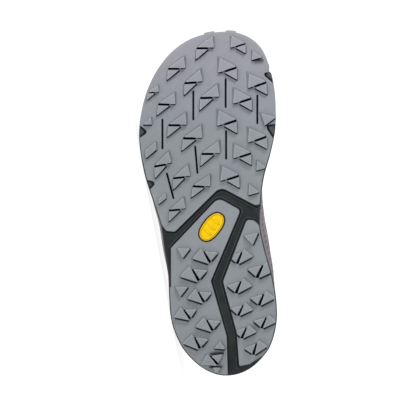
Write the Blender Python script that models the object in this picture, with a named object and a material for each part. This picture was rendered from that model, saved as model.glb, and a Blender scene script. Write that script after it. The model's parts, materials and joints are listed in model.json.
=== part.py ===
"""Right trail running shoe, empty and unworn, lying on its outer side.

The shoe is worked out in its own axes: X runs from the heel to the toe, Y towards the
inner (medial) side and Z up from the ground that it would stand on. At the end an empty
turns the whole shoe onto its outer side, so that the edge of the sole and the side of the
upper both lie on the floor at Z = 0.

A share "along" is a share of the sole's length from the heel. A share "across" runs from the
middle of the heel towards the inner side: of the sole's local width in the outsole's tables,
and of the ball width in those of crest, throat and collar.
"""

import math

import bmesh
import bpy
from mathutils import Matrix, Vector

# Driving sizes in metres
SOLE_LENGTH = 0.278
BALL_WIDTH = 0.110
HEEL_WIDTH = 0.0865
HEEL_BED = 0.029
BALL_BED = 0.022
TOE_SPRING = 0.016
HEEL_BEVEL = 0.005

# Outsole
LUG_HEIGHT = 0.0035
RUBBER = 0.0022
POD_MARGIN = 0.0010
LUG_MARGIN = 0.0004
LUG_ROOT = 0.0006
SIPE_WIDTH = 0.0014
SIPE_DEPTH = 0.0013
TOE_WRAP = 0.0018
TOE_WRAP_HEIGHT = 0.011
TOE_WRAP_REACH = 0.0292
TOE_WRAP_FOOT = 0.0046
TOE_RIB = 0.0007
BADGE_LENGTH = 0.0265
BADGE_WIDTH = 0.0150
BADGE_RECESS = 0.0012
BADGE_PROUD = 0.0004

# Midsole
CUP_LIP = 0.0016
CUP_SLOPE = 0.0024
SIDE_STEP = 0.0014

# Upper, tongue, insole and lace
HEEL_TAB_HEIGHT = 0.106
INSTEP_HEIGHT = 0.111
WALL = 0.0024
COLLAR_PAD = 0.0060
OVERLAY = 0.0010
TONGUE = 0.0040
INSOLE = 0.0045
LACE_RADIUS = 0.0015
EYELET_RADIUS = 0.0022
EYELET_ROWS = 6
EYELET_LEVEL = 1.885
TONGUE_OVER = 0.070
TONGUE_RISE = 0.60
TONGUE_LEVELS = (1.80, 1.89, 1.97)
TONGUE_ROOM = 0.0010
INSOLE_RIM = 0.006

# Fits and fineness
GAP = 0.0003
CLEARANCE = 0.0006
FLAT_SPOT = 0.0005
SIDE_STATIONS = 32
CORNER_STEPS = 4
MERGE = 5e-6

# The sole's edge: along, then its outer and inner side in shares of the local width
OUTLINE = (
    (0.000, 0.023, 0.023),
    (0.018, -0.177, 0.229),
    (0.053, -0.315, 0.358),
    (0.087, -0.399, 0.433),
    (0.157, -0.489, 0.491),
    (0.226, -0.510, 0.485),
    (0.296, -0.509, 0.435),
    (0.365, -0.520, 0.359),
    (0.435, -0.525, 0.301),
    (0.504, -0.559, 0.292),
    (0.574, -0.595, 0.302),
    (0.643, -0.615, 0.342),
    (0.713, -0.622, 0.375),
    (0.783, -0.597, 0.379),
    (0.852, -0.539, 0.362),
    (0.922, -0.428, 0.311),
    (0.956, -0.338, 0.264),
    (0.985, -0.206, 0.176),
    (1.000, 0.022, 0.022),
)

# The midsole's side: how far inside the edge in shares of its step, and share of its height
SIDE_PROFILE = (
    (0.57, 0.00),
    (0.00, 0.12),
    (0.00, 0.46),
    (1.00, 0.53),
    (0.86, 1.00),
)

LIP_INSET = SIDE_PROFILE[-1][0] * SIDE_STEP

# Height of the midsole's lip above its bed, in shares of the heel's bed height: along,
# outer side, inner side
LIP_HEIGHT = (
    (0.00, 0.276, 0.276),
    (0.20, 0.241, 0.241),
    (0.40, 0.172, 0.207),
    (0.70, 0.172, 0.172),
    (1.00, 0.207, 0.207),
)

# How far the upper stands out past the sole's edge, in shares of the ball width: along,
# outer side, inner side
SWELL = (
    (0.00, -0.027, -0.027),
    (0.10, -0.036, -0.036),
    (0.20, -0.032, -0.020),
    (0.28, -0.005, 0.011),
    (0.36, 0.008, 0.039),
    (0.42, 0.009, 0.048),
    (0.48, 0.000, 0.029),
    (0.55, -0.018, -0.009),
    (0.65, -0.025, -0.022),
    (0.85, -0.027, -0.024),
    (1.00, -0.027, -0.027),
)

# The crest over toes and instep: along, across, share of the instep height
CREST = (
    (0.93, 0.010, 0.535),
    (0.88, -0.015, 0.580),
    (0.80, -0.035, 0.630),
    (0.70, -0.055, 0.700),
    (0.60, -0.060, 0.815),
    (0.50, -0.050, 0.940),
    (0.44, -0.038, 1.000),
)

# Half the throat's width: along, share of the ball width
THROAT = (
    (0.44, 0.215),
    (0.50, 0.188),
    (0.58, 0.160),
    (0.64, 0.130),
    (0.68, 0.090),
)

# The collar's edge: along where the side starts, along of the edge itself, outer and inner
# side across, share of the heel tab's height
COLLAR = (
    (0.000, 0.010, 0.012, 0.012, 1.000),
    (0.006, 0.011, -0.070, 0.094, 0.995),
    (0.020, 0.016, -0.128, 0.150, 0.970),
    (0.055, 0.038, -0.192, 0.210, 0.910),
    (0.110, 0.095, -0.262, 0.268, 0.820),
    (0.200, 0.195, -0.318, 0.302, 0.748),
    (0.300, 0.300, -0.330, 0.278, 0.775),
    (0.370, 0.375, -0.300, 0.228, 0.868),
    (0.440, 0.440, -0.253, 0.177, 0.968),
)

THROAT_FRONT = 0.70
THROAT_BACK = 0.44
CREST_FRONT = 0.93
THROAT_DROP = 0.35

# Pods of the outsole as seen from below: along, across, corner radius as a share of the
# ball width
FRONT_POD = (
    (0.420, -0.4805, 0.018),
    (0.418, -0.4113, 0.029),
    (0.548, -0.0273, 0.065),
    (0.486, 0.2925, 0.036),
    (0.542, 0.2875, 0.0),
    (0.655, 0.4783, 0.0),
    (1.032, 0.4760, 0.0),
    (1.032, -0.6950, 0.0),
    (0.655, -0.6984, 0.0),
    (0.539, -0.5740, 0.0),
    (0.445, -0.5247, 0.0),
)
OUTER_HEEL_POD = (
    (0.516, -0.0449, 0.058),
    (0.480, 0.1315, 0.029),
    (0.276, -0.1213, 0.011),
    (0.115, 0.0242, 0.044),
    (-0.025, 0.0369, 0.0),
    (-0.025, -0.6511, 0.0),
    (0.221, -0.6502, 0.0),
    (0.258, -0.4897, 0.0),
    (0.370, -0.4611, 0.022),
)
INNER_HEEL_POD = (
    (0.454, 0.1864, 0.029),
    (0.451, 0.2495, 0.036),
    (0.431, 0.3008, 0.029),
    (0.308, 0.5665, 0.0),
    (0.090, 0.5850, 0.0),
    (0.064, 0.3866, 0.0),
    (0.034, 0.2378, 0.0),
    (0.028, 0.1412, 0.011),
    (0.128, 0.1157, 0.145),
    (0.274, -0.0100, 0.044),
)

# Notches in the edge of the front pod
NOTCHES = (
    ((0.733, -0.6590, 0.0), (0.724, -0.6090, 0.009), (0.707, -0.5560, 0.018), (0.678, -0.6598, 0.0)),
    ((0.572, -0.6631, 0.0), (0.567, -0.5661, 0.009), (0.560, -0.5161, 0.018), (0.533, -0.5930, 0.0),
     (0.530, -0.6789, 0.0)),
    ((0.890, 0.4400, 0.0), (0.884, 0.3350, 0.009), (0.873, 0.3050, 0.018), (0.840, 0.4000, 0.0)),
    ((0.735, 0.4400, 0.0), (0.727, 0.3120, 0.009), (0.716, 0.3160, 0.009), (0.678, 0.3785, 0.0)),
)

# Lug shapes from a lug's own middle: forwards as a share of the sole's length and inwards
# as a share of the ball or heel width. Each has its worn face first, then its wider foot.
OUTER_WEDGE = (
    (((0.0, 0.0636), (0.0, -0.0636), (0.0338, 0.0527)),
     ((0.0, 0.0700), (0.0, -0.0736), (0.0424, 0.0655))),
    (((-0.0050, -0.0682), (-0.0050, 0.0191), (-0.0371, -0.0764)),
     ((-0.0050, -0.0755), (-0.0050, 0.0273), (-0.0403, -0.0836))),
)
INNER_WEDGE = (
    (((-0.0086, -0.0664), (0.0090, 0.0664), (0.0335, -0.0545)),
     ((-0.0097, -0.0745), (0.0104, 0.0764), (0.0417, -0.0727))),
    (((-0.0076, -0.0200), (0.0040, 0.0682), (-0.0288, 0.0709)),
     ((-0.0086, -0.0282), (0.0050, 0.0764), (-0.0320, 0.0782))),
)
OUTER_HEEL_PAIR = (
    (((0.0248, -0.0602), (-0.0043, -0.1410), (-0.0201, 0.0209)),
     ((0.0291, -0.0682), (-0.0058, -0.1572), (-0.0234, 0.0266))),
    (((0.0158, -0.0243), (0.0129, 0.0994), (-0.0119, 0.0277)),
     ((0.0191, -0.0300), (0.0155, 0.1145), (-0.0155, 0.0347))),
)
INNER_HEEL_PAIR = (
    (((0.0248, 0.0497), (0.0036, 0.1295), (-0.0183, -0.0057)),
     ((0.0291, 0.0554), (0.0029, 0.1456), (-0.0212, -0.0093))),
    (((0.0151, 0.0184), (0.0043, -0.0972), (-0.0147, -0.0197)),
     ((0.0183, 0.0231), (0.0043, -0.1133), (-0.0183, -0.0243))),
)
OUTER_SPLINTER = (
    (((0.0, 0.0364), (0.0, -0.0273), (0.0223, 0.0309)),
     ((-0.0022, 0.0427), (-0.0022, -0.0364), (0.0281, 0.0382))),
)
INNER_SPLINTER = (
    (((-0.0043, -0.0327), (0.0036, 0.0382), (0.0237, -0.0273)),
     ((-0.0068, -0.0382), (0.0022, 0.0473), (0.0302, -0.0364))),
)
SLANT_BAR = (
    (((-0.0216, -0.0400), (0.0036, 0.0364), (0.0259, 0.0309), (0.0, -0.0455)),
     ((-0.0252, -0.0455), (0.0029, 0.0436), (0.0302, 0.0382), (0.0014, -0.0527))),
)
HEEL_ARROW = (
    (((0.0122, -0.0579), (0.0108, 0.0579), (-0.0158, -0.0093)),
     ((0.0151, -0.0740), (0.0137, 0.0740), (-0.0201, -0.0093))),
)
HEEL_PEAK = (
    (((0.0129, 0.0), (-0.0086, -0.0509), (-0.0108, 0.0486)),
     ((0.0173, 0.0), (-0.0115, -0.0670), (-0.0144, 0.0647))),
)

# Lugs by pod: along, across, shape, turn in degrees, size
FRONT_LUGS = (
    (0.953, -0.1350, OUTER_WEDGE, 0, 0.95),
    (0.893, -0.3450, OUTER_WEDGE, 0, 0.95),
    (0.853, -0.2220, OUTER_WEDGE, -4, 1.00),
    (0.823, -0.5170, OUTER_WEDGE, 0, 0.62),
    (0.789, -0.4170, OUTER_WEDGE, 2, 0.95),
    (0.809, -0.1030, OUTER_WEDGE, -2, 1.04),
    (0.729, -0.3380, OUTER_WEDGE, 1, 1.00),
    (0.691, -0.2270, OUTER_WEDGE, 1, 1.05),
    (0.646, -0.0957, OUTER_WEDGE, 0, 1.02),
    (0.614, -0.4526, OUTER_WEDGE, 14, 0.98),
    (0.578, -0.3182, OUTER_WEDGE, 4, 0.95),
    (0.551, -0.1697, OUTER_WEDGE, 2, 0.96),
    (0.484, -0.3717, OUTER_WEDGE, 8, 0.92),
    (0.729, -0.5640, OUTER_SPLINTER, 0, 0.95),
    (0.653, -0.5338, SLANT_BAR, 0, 1.00),
    (0.513, -0.4814, SLANT_BAR, 0, 0.68),
    (0.959, 0.1020, INNER_WEDGE, 0, 0.80),
    (0.888, 0.0240, INNER_WEDGE, 0, 1.00),
    (0.844, 0.2420, INNER_WEDGE, -2, 1.00),
    (0.798, 0.1330, INNER_WEDGE, 0, 1.00),
    (0.734, 0.0200, INNER_WEDGE, 0, 1.05),
    (0.686, 0.2421, INNER_WEDGE, -2, 1.00),
    (0.639, 0.1332, INNER_WEDGE, 0, 0.96),
    (0.574, 0.0435, INNER_WEDGE, 0, 1.00),
    (0.920, 0.2320, INNER_SPLINTER, 0, 0.80),
    (0.738, 0.3340, INNER_SPLINTER, -22, 1.30),
    (0.600, 0.2761, INNER_SPLINTER, 0, 1.00),
    (0.529, 0.2282, INNER_SPLINTER, 0, 1.10),
)
OUTER_HEEL_LUGS = (
    (0.345, -0.1458, OUTER_HEEL_PAIR, 0, 1.00),
    (0.293, -0.2532, OUTER_HEEL_PAIR, 0, 1.05),
    (0.229, -0.2080, OUTER_HEEL_PAIR, 0, 0.95),
    (0.179, -0.3395, OUTER_HEEL_PAIR, -6, 0.90),
    (0.147, -0.1284, OUTER_HEEL_PAIR, 0, 0.97),
    (0.096, -0.2442, OUTER_HEEL_PAIR, 4, 0.97),
    (0.046, -0.0877, OUTER_HEEL_PAIR, 14, 0.95),
    (0.358, -0.3525, HEEL_ARROW, 0, 1.0),
    (0.247, -0.3928, HEEL_ARROW, 0, 1.0),
    (0.089, -0.0369, HEEL_PEAK, 0, 1.0),
    (0.017, -0.0661, HEEL_ARROW, 0, 0.62),
)
INNER_HEEL_LUGS = (
    (0.343, 0.1315, INNER_HEEL_PAIR, 0, 1.00),
    (0.304, 0.3184, INNER_HEEL_PAIR, 3, 1.12),
    (0.258, 0.1272, INNER_HEEL_PAIR, 0, 1.03),
    (0.222, 0.3416, INNER_HEEL_PAIR, 0, 1.00),
    (0.191, 0.1501, INNER_HEEL_PAIR, 3, 0.93),
    (0.155, 0.3662, INNER_HEEL_PAIR, 2, 0.93),
    (0.126, 0.1818, INNER_HEEL_PAIR, 2, 0.93),
    (0.079, 0.2823, INNER_HEEL_PAIR, -6, 0.95),
    (0.398, 0.2394, HEEL_ARROW, -14, 1.12),
)

# Long grooves in the front pod: along and across of each end
SIPES = (
    (0.826, -0.2250, 0.743, -0.2250),
    (0.862, 0.0120, 0.779, 0.0120),
    (0.814, 0.2440, 0.732, 0.2440),
    (0.744, -0.4510, 0.659, -0.4528),
    (0.666, -0.2126, 0.588, -0.1995),
    (0.710, 0.0150, 0.629, 0.0152),
    (0.588, -0.4318, 0.515, -0.3951),
)

# Ribs on the toe wrap: across of both edges
TOE_RIBS = (
    (-0.145, -0.070),
    (0.015, 0.088),
)

BADGE_PLACE = (0.432, -0.1021)
BADGE_TURN = 38.0
BADGE_RIBS = 3

# Colours: red, green, blue, roughness
COLOURS = {
    "rubber": (0.27, 0.28, 0.31, 0.70),
    "foam": (0.035, 0.042, 0.045, 0.75),
    "badge": (0.95, 0.62, 0.01, 0.40),
    "mesh": (0.27, 0.20, 0.25, 0.90),
    "lining": (0.10, 0.09, 0.10, 0.95),
    "tongue": (0.24, 0.18, 0.22, 0.90),
    "lace": (0.33, 0.30, 0.33, 0.85),
}


def smooth(low, high, value):
    """Share from 0 to 1 that eases in and out between two limits."""
    share = min(max((value - low) / (high - low), 0.0), 1.0)
    return share * share * (3.0 - 2.0 * share)


def mix(first, second, share):
    return first + (second - first) * share


def arc_place(along):
    """Spreads the ends of the sole, where its edge turns quickly."""
    return math.acos(1.0 - 2.0 * min(max(along, 0.0), 1.0))


def read(rows, place, column, spread=None):
    """One column of a table at a place, on a smooth curve through the rows."""
    rows = sorted(rows)
    places = [spread(row[0]) if spread else row[0] for row in rows]
    values = [row[column] for row in rows]
    place = spread(place) if spread else place
    if place <= places[0]:
        return values[0]
    if place >= places[-1]:
        return values[-1]
    last = len(rows) - 1
    k = max(index for index in range(last) if places[index] <= place)
    step = places[k + 1] - places[k]

    def slope(index):
        before = max(index - 1, 0)
        after = min(index + 1, last)
        return (values[after] - values[before]) / (places[after] - places[before])

    share = (place - places[k]) / step
    square = share * share
    cube = square * share
    return (
        (2.0 * cube - 3.0 * square + 1.0) * values[k]
        + (cube - 2.0 * square + share) * step * slope(k)
        + (3.0 * square - 2.0 * cube) * values[k + 1]
        + (cube - square) * step * slope(k + 1)
    )


def spot(along, across):
    """A place in the sole's plan in metres, across as a share of the local width."""
    return Vector((along * SOLE_LENGTH, across * local_width(along)))


def local_width(along):
    return mix(HEEL_WIDTH, BALL_WIDTH, smooth(0.2, 0.7, along))


def edge_across(along, side):
    """Y of the sole's edge: side is -1 for the outer side and 1 for the inner side."""
    column = 1 if side < 0 else 2
    return read(OUTLINE, along, column, arc_place) * local_width(along)


def rocker(along):
    """How far the sole's underside lifts off the ground at the toe and the heel."""
    toe = max(along - 0.64, 0.0) / 0.36
    heel = max(0.14 - along, 0.0) / 0.14
    return TOE_SPRING * toe ** 1.9 + HEEL_BEVEL * heel ** 1.6


def underside(along):
    return rocker(along) + LUG_HEIGHT + RUBBER + GAP


def bed(along):
    """Height of the midsole's bed, on which upper and insole stand."""
    toe = max(along - 0.64, 0.0) / 0.36
    return mix(HEEL_BED, BALL_BED, smooth(0.25, 0.65, along)) + 0.95 * TOE_SPRING * toe ** 1.9


def lip_top(along, side):
    return bed(along) + read(LIP_HEIGHT, along, 1 if side < 0 else 2) * HEEL_BED


class RimPlace:
    """A place on the sole's edge with its outward direction."""

    def __init__(self, along, side):
        self.along = along
        self.side = side
        self.point = Vector((along * SOLE_LENGTH, edge_across(along, side)))
        self.out = Vector((0.0, 0.0))

    def at(self, outwards, height):
        flat = self.point + self.out * outwards
        return Vector((flat.x, flat.y, height))


def rim_places():
    """Places round the edge: heel, outer side forwards, toe, inner side backwards."""
    fine = 600
    walk = [0.0]
    alongs = [0.5 - 0.5 * math.cos(math.pi * k / fine) for k in range(fine + 1)]

    def half(along):
        return 0.5 * (edge_across(along, 1) - edge_across(along, -1))

    for k in range(fine):
        run = (alongs[k + 1] - alongs[k]) * SOLE_LENGTH
        rise = half(alongs[k + 1]) - half(alongs[k])
        walk.append(walk[-1] + math.hypot(run, rise))
    stations = []
    for k in range(SIDE_STATIONS + 1):
        goal = walk[-1] * k / SIDE_STATIONS
        index = min(sum(1 for length in walk if length < goal), fine)
        stations.append(alongs[index])
    stations[0] = 0.0
    stations[-1] = 1.0
    places = [RimPlace(along, -1) for along in stations]
    places += [RimPlace(along, 1) for along in reversed(stations[1:-1])]
    count = len(places)
    for k, place in enumerate(places):
        tangent = places[(k + 1) % count].point - places[k - 1].point
        place.out = Vector((tangent.y, -tangent.x)).normalized()
    return places


RIM = rim_places()
TOE_INDEX = SIDE_STATIONS
TOE_WRAP_START = 1.0 - TOE_WRAP_REACH / SOLE_LENGTH


def toe_inset(along):
    """Room that the midsole leaves at the toe for the rubber that wraps it."""
    return (TOE_WRAP + CLEARANCE) * smooth(TOE_WRAP_START - 0.035, TOE_WRAP_START - 0.012, along)


# Mesh helpers

def new_object(name, mesh_data, colour):
    """Puts a bmesh into the shoe's collection as a part with its own material."""
    mesh = bpy.data.meshes.new(name)
    mesh_data.to_mesh(mesh)
    mesh_data.free()
    part = bpy.data.objects.new(name, mesh)
    SHOE.objects.link(part)
    if colour:
        red, green, blue, roughness = COLOURS[colour]
        material = bpy.data.materials.new(name)
        material.use_nodes = True
        shader = material.node_tree.nodes["Principled BSDF"]
        shader.inputs["Base Color"].default_value = (red, green, blue, 1.0)
        shader.inputs["Roughness"].default_value = roughness
        mesh.materials.append(material)
    return part


def cutter(name, mesh_data):
    mesh = bpy.data.meshes.new(name)
    mesh_data.to_mesh(mesh)
    mesh_data.free()
    tool = bpy.data.objects.new(name, mesh)
    CUTTERS.objects.link(tool)
    tool.hide_render = True
    tool.display_type = "WIRE"
    return tool


def boolean(part, tool, operation):
    """Applies an exact Boolean and drops the tool."""
    modifier = part.modifiers.new(operation, "BOOLEAN")
    modifier.operation = operation
    modifier.solver = "EXACT"
    modifier.use_self = True
    modifier.object = tool
    bpy.context.view_layer.update()
    evaluated = part.evaluated_get(bpy.context.evaluated_depsgraph_get())
    result = bpy.data.meshes.new_from_object(evaluated)
    part.modifiers.remove(modifier)
    old = part.data
    part.data = result
    bpy.data.meshes.remove(old)
    bpy.data.objects.remove(tool)


def ring_band(mesh_data, rings, closed=True):
    """Quads between rings of vertices that have the same count."""
    for low, high in zip(rings, rings[1:]):
        count = len(low)
        for k in range(count if closed else count - 1):
            after = (k + 1) % count
            mesh_data.faces.new((low[k], low[after], high[after], high[k]))


def ladder_cap(mesh_data, ring):
    """Closes a ring round the sole with strips from side to side."""
    count = len(ring)
    half = count // 2
    for k in range(half):
        corners = [ring[k], ring[k + 1], ring[count - k - 1], ring[(count - k) % count]]
        unique = list(dict.fromkeys(corners))
        mesh_data.faces.new(unique)


def outward(mesh_data):
    """Turns every face of a closed solid outwards."""
    bmesh.ops.recalc_face_normals(mesh_data, faces=mesh_data.faces[:])
    if mesh_data.calc_volume(signed=True) < 0.0:
        bmesh.ops.reverse_faces(mesh_data, faces=mesh_data.faces[:])


def prism(outline, low, high):
    """A flat outline in the plan, extruded between two heights."""
    solid = bmesh.new()
    face = solid.faces.new([solid.verts.new((point.x, point.y, low)) for point in outline])
    walls = bmesh.ops.extrude_face_region(solid, geom=[face])
    top = [item for item in walls["geom"] if isinstance(item, bmesh.types.BMVert)]
    bmesh.ops.translate(solid, verts=top, vec=(0.0, 0.0, high - low))
    outward(solid)
    return solid


def moved_in(points, inset):
    """Corners of an outline moved inwards, so that every side moves by the inset."""
    area = 0.0
    for here, ahead in zip(points, points[1:] + points[:1]):
        area += here.cross(ahead)
    turn = math.copysign(1.0, area)
    moved = []
    for k, here in enumerate(points):
        back = (here - points[k - 1]).normalized()
        ahead = (points[(k + 1) % len(points)] - here).normalized()
        across = Vector((-back.y - ahead.y, back.x + ahead.x)).normalized() * turn
        square = across.dot(Vector((-back.y, back.x)) * turn)
        moved.append(here + across * inset / square)
    return moved


def rounded(corners, inset=0.0):
    """An outline from rows of along, across and corner radius."""
    points = moved_in([spot(row[0], row[1]) for row in corners], inset)
    outline = []
    for k, row in enumerate(corners):
        here = points[k]
        back = (points[k - 1] - here).normalized()
        ahead = (points[(k + 1) % len(points)] - here).normalized()
        radius = row[2] * BALL_WIDTH
        if radius <= 0.0:
            outline.append(here)
            continue
        half_angle = 0.5 * back.angle(ahead)
        reach = radius / math.tan(half_angle)
        centre = here + (back + ahead).normalized() * (radius / math.sin(half_angle))
        start = here + back * reach - centre
        sweep = start.angle_signed(here + ahead * reach - centre)
        for step in range(CORNER_STEPS + 1):
            turned = start.copy()
            turned.rotate(Matrix.Rotation(-sweep * step / CORNER_STEPS, 2))
            outline.append(centre + turned)
    return outline


# Outsole

def lug_solids(rows, width):
    """All lugs of a pod as tapered wedges whose feet sink into the rubber."""
    solid = bmesh.new()
    for along, across, shape, turn, size in rows:
        place = spot(along, across)
        spin = Matrix.Rotation(math.radians(turn), 2)
        for face, foot in shape:
            low = []
            high = []
            for (forwards, inwards), (foot_forwards, foot_inwards) in zip(face, foot):
                tip = Vector((forwards * SOLE_LENGTH, inwards * width)) * size
                base = Vector((foot_forwards * SOLE_LENGTH, foot_inwards * width)) * size
                tip = place + spin @ tip
                base = place + spin @ base
                low.append(solid.verts.new((tip.x, tip.y, 0.0)))
                high.append(solid.verts.new((base.x, base.y, LUG_HEIGHT + LUG_ROOT)))
            solid.faces.new(low)
            solid.faces.new(high)
            ring_band(solid, [low, high])
    outward(solid)
    return solid


def groove_solids(rows):
    solid = bmesh.new()
    for along, across, end_along, end_across in rows:
        start = spot(along, across)
        end = spot(end_along, end_across)
        run = end - start
        angle = math.atan2(run.y, run.x)
        middle = 0.5 * (start + end)
        depth = 2.0 * SIPE_DEPTH
        place = (
            Matrix.Translation((middle.x, middle.y, LUG_HEIGHT + SIPE_DEPTH - 0.5 * depth))
            @ Matrix.Rotation(angle, 4, "Z")
            @ Matrix.Diagonal((run.length, SIPE_WIDTH, depth, 1.0))
        )
        bmesh.ops.create_cube(solid, size=1.0, matrix=place)
    return solid


def sole_outline(margin):
    """The sole's edge moved inwards, and further in under the toe's rubber wrap."""
    outline = []
    for place in RIM:
        share = smooth(TOE_WRAP_START - 0.01, TOE_WRAP_START + 0.02, place.along)
        under_wrap = (TOE_WRAP + LUG_MARGIN) * share
        outline.append(place.at(-margin - under_wrap, 0.0).xy)
    return [0.5 * (here + ahead) for here, ahead in zip(outline, outline[1:] + outline[:1])]


def slice_along(solid, first, last, count):
    """Cuts a flat solid across at even steps, so that it can bend."""
    for k in range(count + 1):
        x = mix(first, last, k / count) * SOLE_LENGTH
        geometry = solid.verts[:] + solid.edges[:] + solid.faces[:]
        bmesh.ops.bisect_plane(solid, geom=geometry, dist=1e-6, plane_co=(x, 0, 0), plane_no=(1, 0, 0))


def bend_to_ground(part):
    """Slices a flat pod where the sole curves up, then lifts it by the rocker."""
    solid = bmesh.new()
    solid.from_mesh(part.data)
    bmesh.ops.remove_doubles(solid, verts=solid.verts[:], dist=MERGE)
    slice_along(solid, 0.64, 0.985, 13)
    slice_along(solid, 0.015, 0.14, 4)
    for vertex in solid.verts:
        vertex.co.z += rocker(vertex.co.x / SOLE_LENGTH)
    solid.to_mesh(part.data)
    solid.free()


def build_pod(name, region, lugs, width):
    """One rubber pod: its region cut to the sole's outline, with lugs joined on."""
    plate = new_object(name, prism(rounded(region), LUG_HEIGHT, LUG_HEIGHT + RUBBER), "rubber")
    trim = prism(sole_outline(POD_MARGIN), -0.01, 0.02)
    boolean(plate, cutter("trim", trim), "INTERSECT")
    wedges = new_object("wedges", lug_solids(lugs, width), None)
    inner = prism(sole_outline(POD_MARGIN + LUG_MARGIN), -0.01, 0.02)
    boolean(wedges, cutter("trim", inner), "INTERSECT")
    limit = prism(rounded(region, LUG_MARGIN), -0.011, 0.021)
    boolean(wedges, cutter("limit", limit), "INTERSECT")
    boolean(plate, wedges, "UNION")
    return plate


def build_toe_wrap():
    """The rubber that turns up over the tip of the toe, as a strip with a worked profile."""
    solid = bmesh.new()
    sections = []
    places = [place for place in RIM if place.along >= TOE_WRAP_START]
    for place in places:
        share = smooth(TOE_WRAP_START - 0.02, 0.96, place.along)
        lift = rocker(place.along)
        floor = lift + LUG_HEIGHT
        rise = TOE_WRAP_HEIGHT * mix(0.45, 1.0, share)
        across = place.point.y / BALL_WIDTH
        on_rib = any(low < across < high for low, high in TOE_RIBS)
        rib = TOE_RIB if on_rib and place.along > 0.95 else 0.0
        profile = (
            (-TOE_WRAP_FOOT, floor + 0.14 * RUBBER),
            (-0.78 * TOE_WRAP, floor + 0.23 * RUBBER),
            (-0.06 * TOE_WRAP, floor + 1.09 * RUBBER),
            (rib, floor + 0.65 * rise),
            (-0.22 * TOE_WRAP, floor + rise),
            (-TOE_WRAP, floor + rise),
            (-TOE_WRAP, floor + 0.91 * RUBBER),
            (-TOE_WRAP_FOOT, floor + 0.91 * RUBBER),
        )
        sections.append([solid.verts.new(place.at(out, height)) for out, height in profile])
    ring_band(solid, sections)
    solid.faces.new(sections[0])
    solid.faces.new(sections[-1])
    outward(solid)
    return solid


def build_front_pod():
    pod = build_pod("outsole_forefoot", FRONT_POD, FRONT_LUGS, BALL_WIDTH)
    for corners in NOTCHES:
        boolean(pod, cutter("notch", prism(rounded(corners), -0.012, 0.022)), "DIFFERENCE")
    boolean(pod, cutter("sipes", groove_solids(SIPES)), "DIFFERENCE")
    bend_to_ground(pod)
    boolean(pod, cutter("toe_wrap", build_toe_wrap()), "UNION")
    return pod


def badge_outline(grow):
    """A plain oval, longer than wide and a little squared at its shoulders."""
    centre = spot(*BADGE_PLACE)
    spin = Matrix.Rotation(math.radians(BADGE_TURN), 2)
    outline = []
    count = 28
    for k in range(count):
        angle = 2.0 * math.pi * k / count
        cosine = math.cos(angle)
        sine = math.sin(angle)
        forwards = (0.5 * BADGE_LENGTH + grow) * math.copysign(abs(cosine) ** 0.85, cosine)
        inwards = (0.5 * BADGE_WIDTH + grow) * math.copysign(abs(sine) ** 0.85, sine)
        outline.append(centre + spin @ Vector((forwards, inwards)))
    return outline


def build_outer_heel_pod():
    pod = build_pod("outsole_heel_outer", OUTER_HEEL_POD, OUTER_HEEL_LUGS, HEEL_WIDTH)
    recess = prism(badge_outline(GAP), LUG_HEIGHT - BADGE_RECESS, LUG_HEIGHT + BADGE_RECESS)
    boolean(pod, cutter("recess", recess), "DIFFERENCE")
    bend_to_ground(pod)
    return pod


def build_badge():
    """The yellow inset, with plain cross ribs on its face."""
    top = LUG_HEIGHT + BADGE_RECESS - GAP
    face = LUG_HEIGHT - BADGE_PROUD
    badge = new_object("badge", prism(badge_outline(0.0), face, top), "badge")
    centre = spot(*BADGE_PLACE)
    ribs = bmesh.new()
    for k in range(BADGE_RIBS):
        forwards = (k - 0.5 * (BADGE_RIBS - 1)) * 0.2 * BADGE_LENGTH
        place = (
            Matrix.Translation((centre.x, centre.y, face))
            @ Matrix.Rotation(math.radians(BADGE_TURN), 4, "Z")
            @ Matrix.Translation((forwards, 0.0, 0.0))
            @ Matrix.Diagonal((0.06 * BADGE_LENGTH, 0.53 * BADGE_WIDTH, 2.0 * BADGE_PROUD, 1.0))
        )
        bmesh.ops.create_cube(ribs, size=1.0, matrix=place)
    boolean(badge, cutter("ribs", ribs), "UNION")
    return badge


# Midsole

def build_midsole():
    """The foam sole: flat underside, stepped side, a lip and the bed inside it."""
    solid = bmesh.new()
    rings = []
    for inset, share in SIDE_PROFILE:
        ring = []
        for place in RIM:
            low = underside(place.along)
            height = mix(low, lip_top(place.along, place.side), share)
            edge = inset * SIDE_STEP + toe_inset(place.along)
            ring.append(solid.verts.new(place.at(-edge, height)))
        rings.append(ring)
    lip = LIP_INSET + CUP_LIP
    for inset, drop in ((lip, 0.0), (lip + CUP_SLOPE, 1.0)):
        ring = []
        for place in RIM:
            height = mix(lip_top(place.along, place.side), bed(place.along), drop)
            ring.append(solid.verts.new(place.at(-inset - toe_inset(place.along), height)))
        rings.append(ring)
    ring_band(solid, rings)
    ladder_cap(solid, rings[0])
    ladder_cap(solid, rings[-1])
    outward(solid)
    return new_object("midsole", solid, "foam")


# Upper

def crest_point(along):
    """A point on the crest over toes and instep."""
    across = read(CREST, along, 1) * BALL_WIDTH
    return Vector((along * SOLE_LENGTH, across, read(CREST, along, 2) * INSTEP_HEIGHT))


def throat_half(along):
    return read(THROAT, along, 1) * BALL_WIDTH


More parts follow.
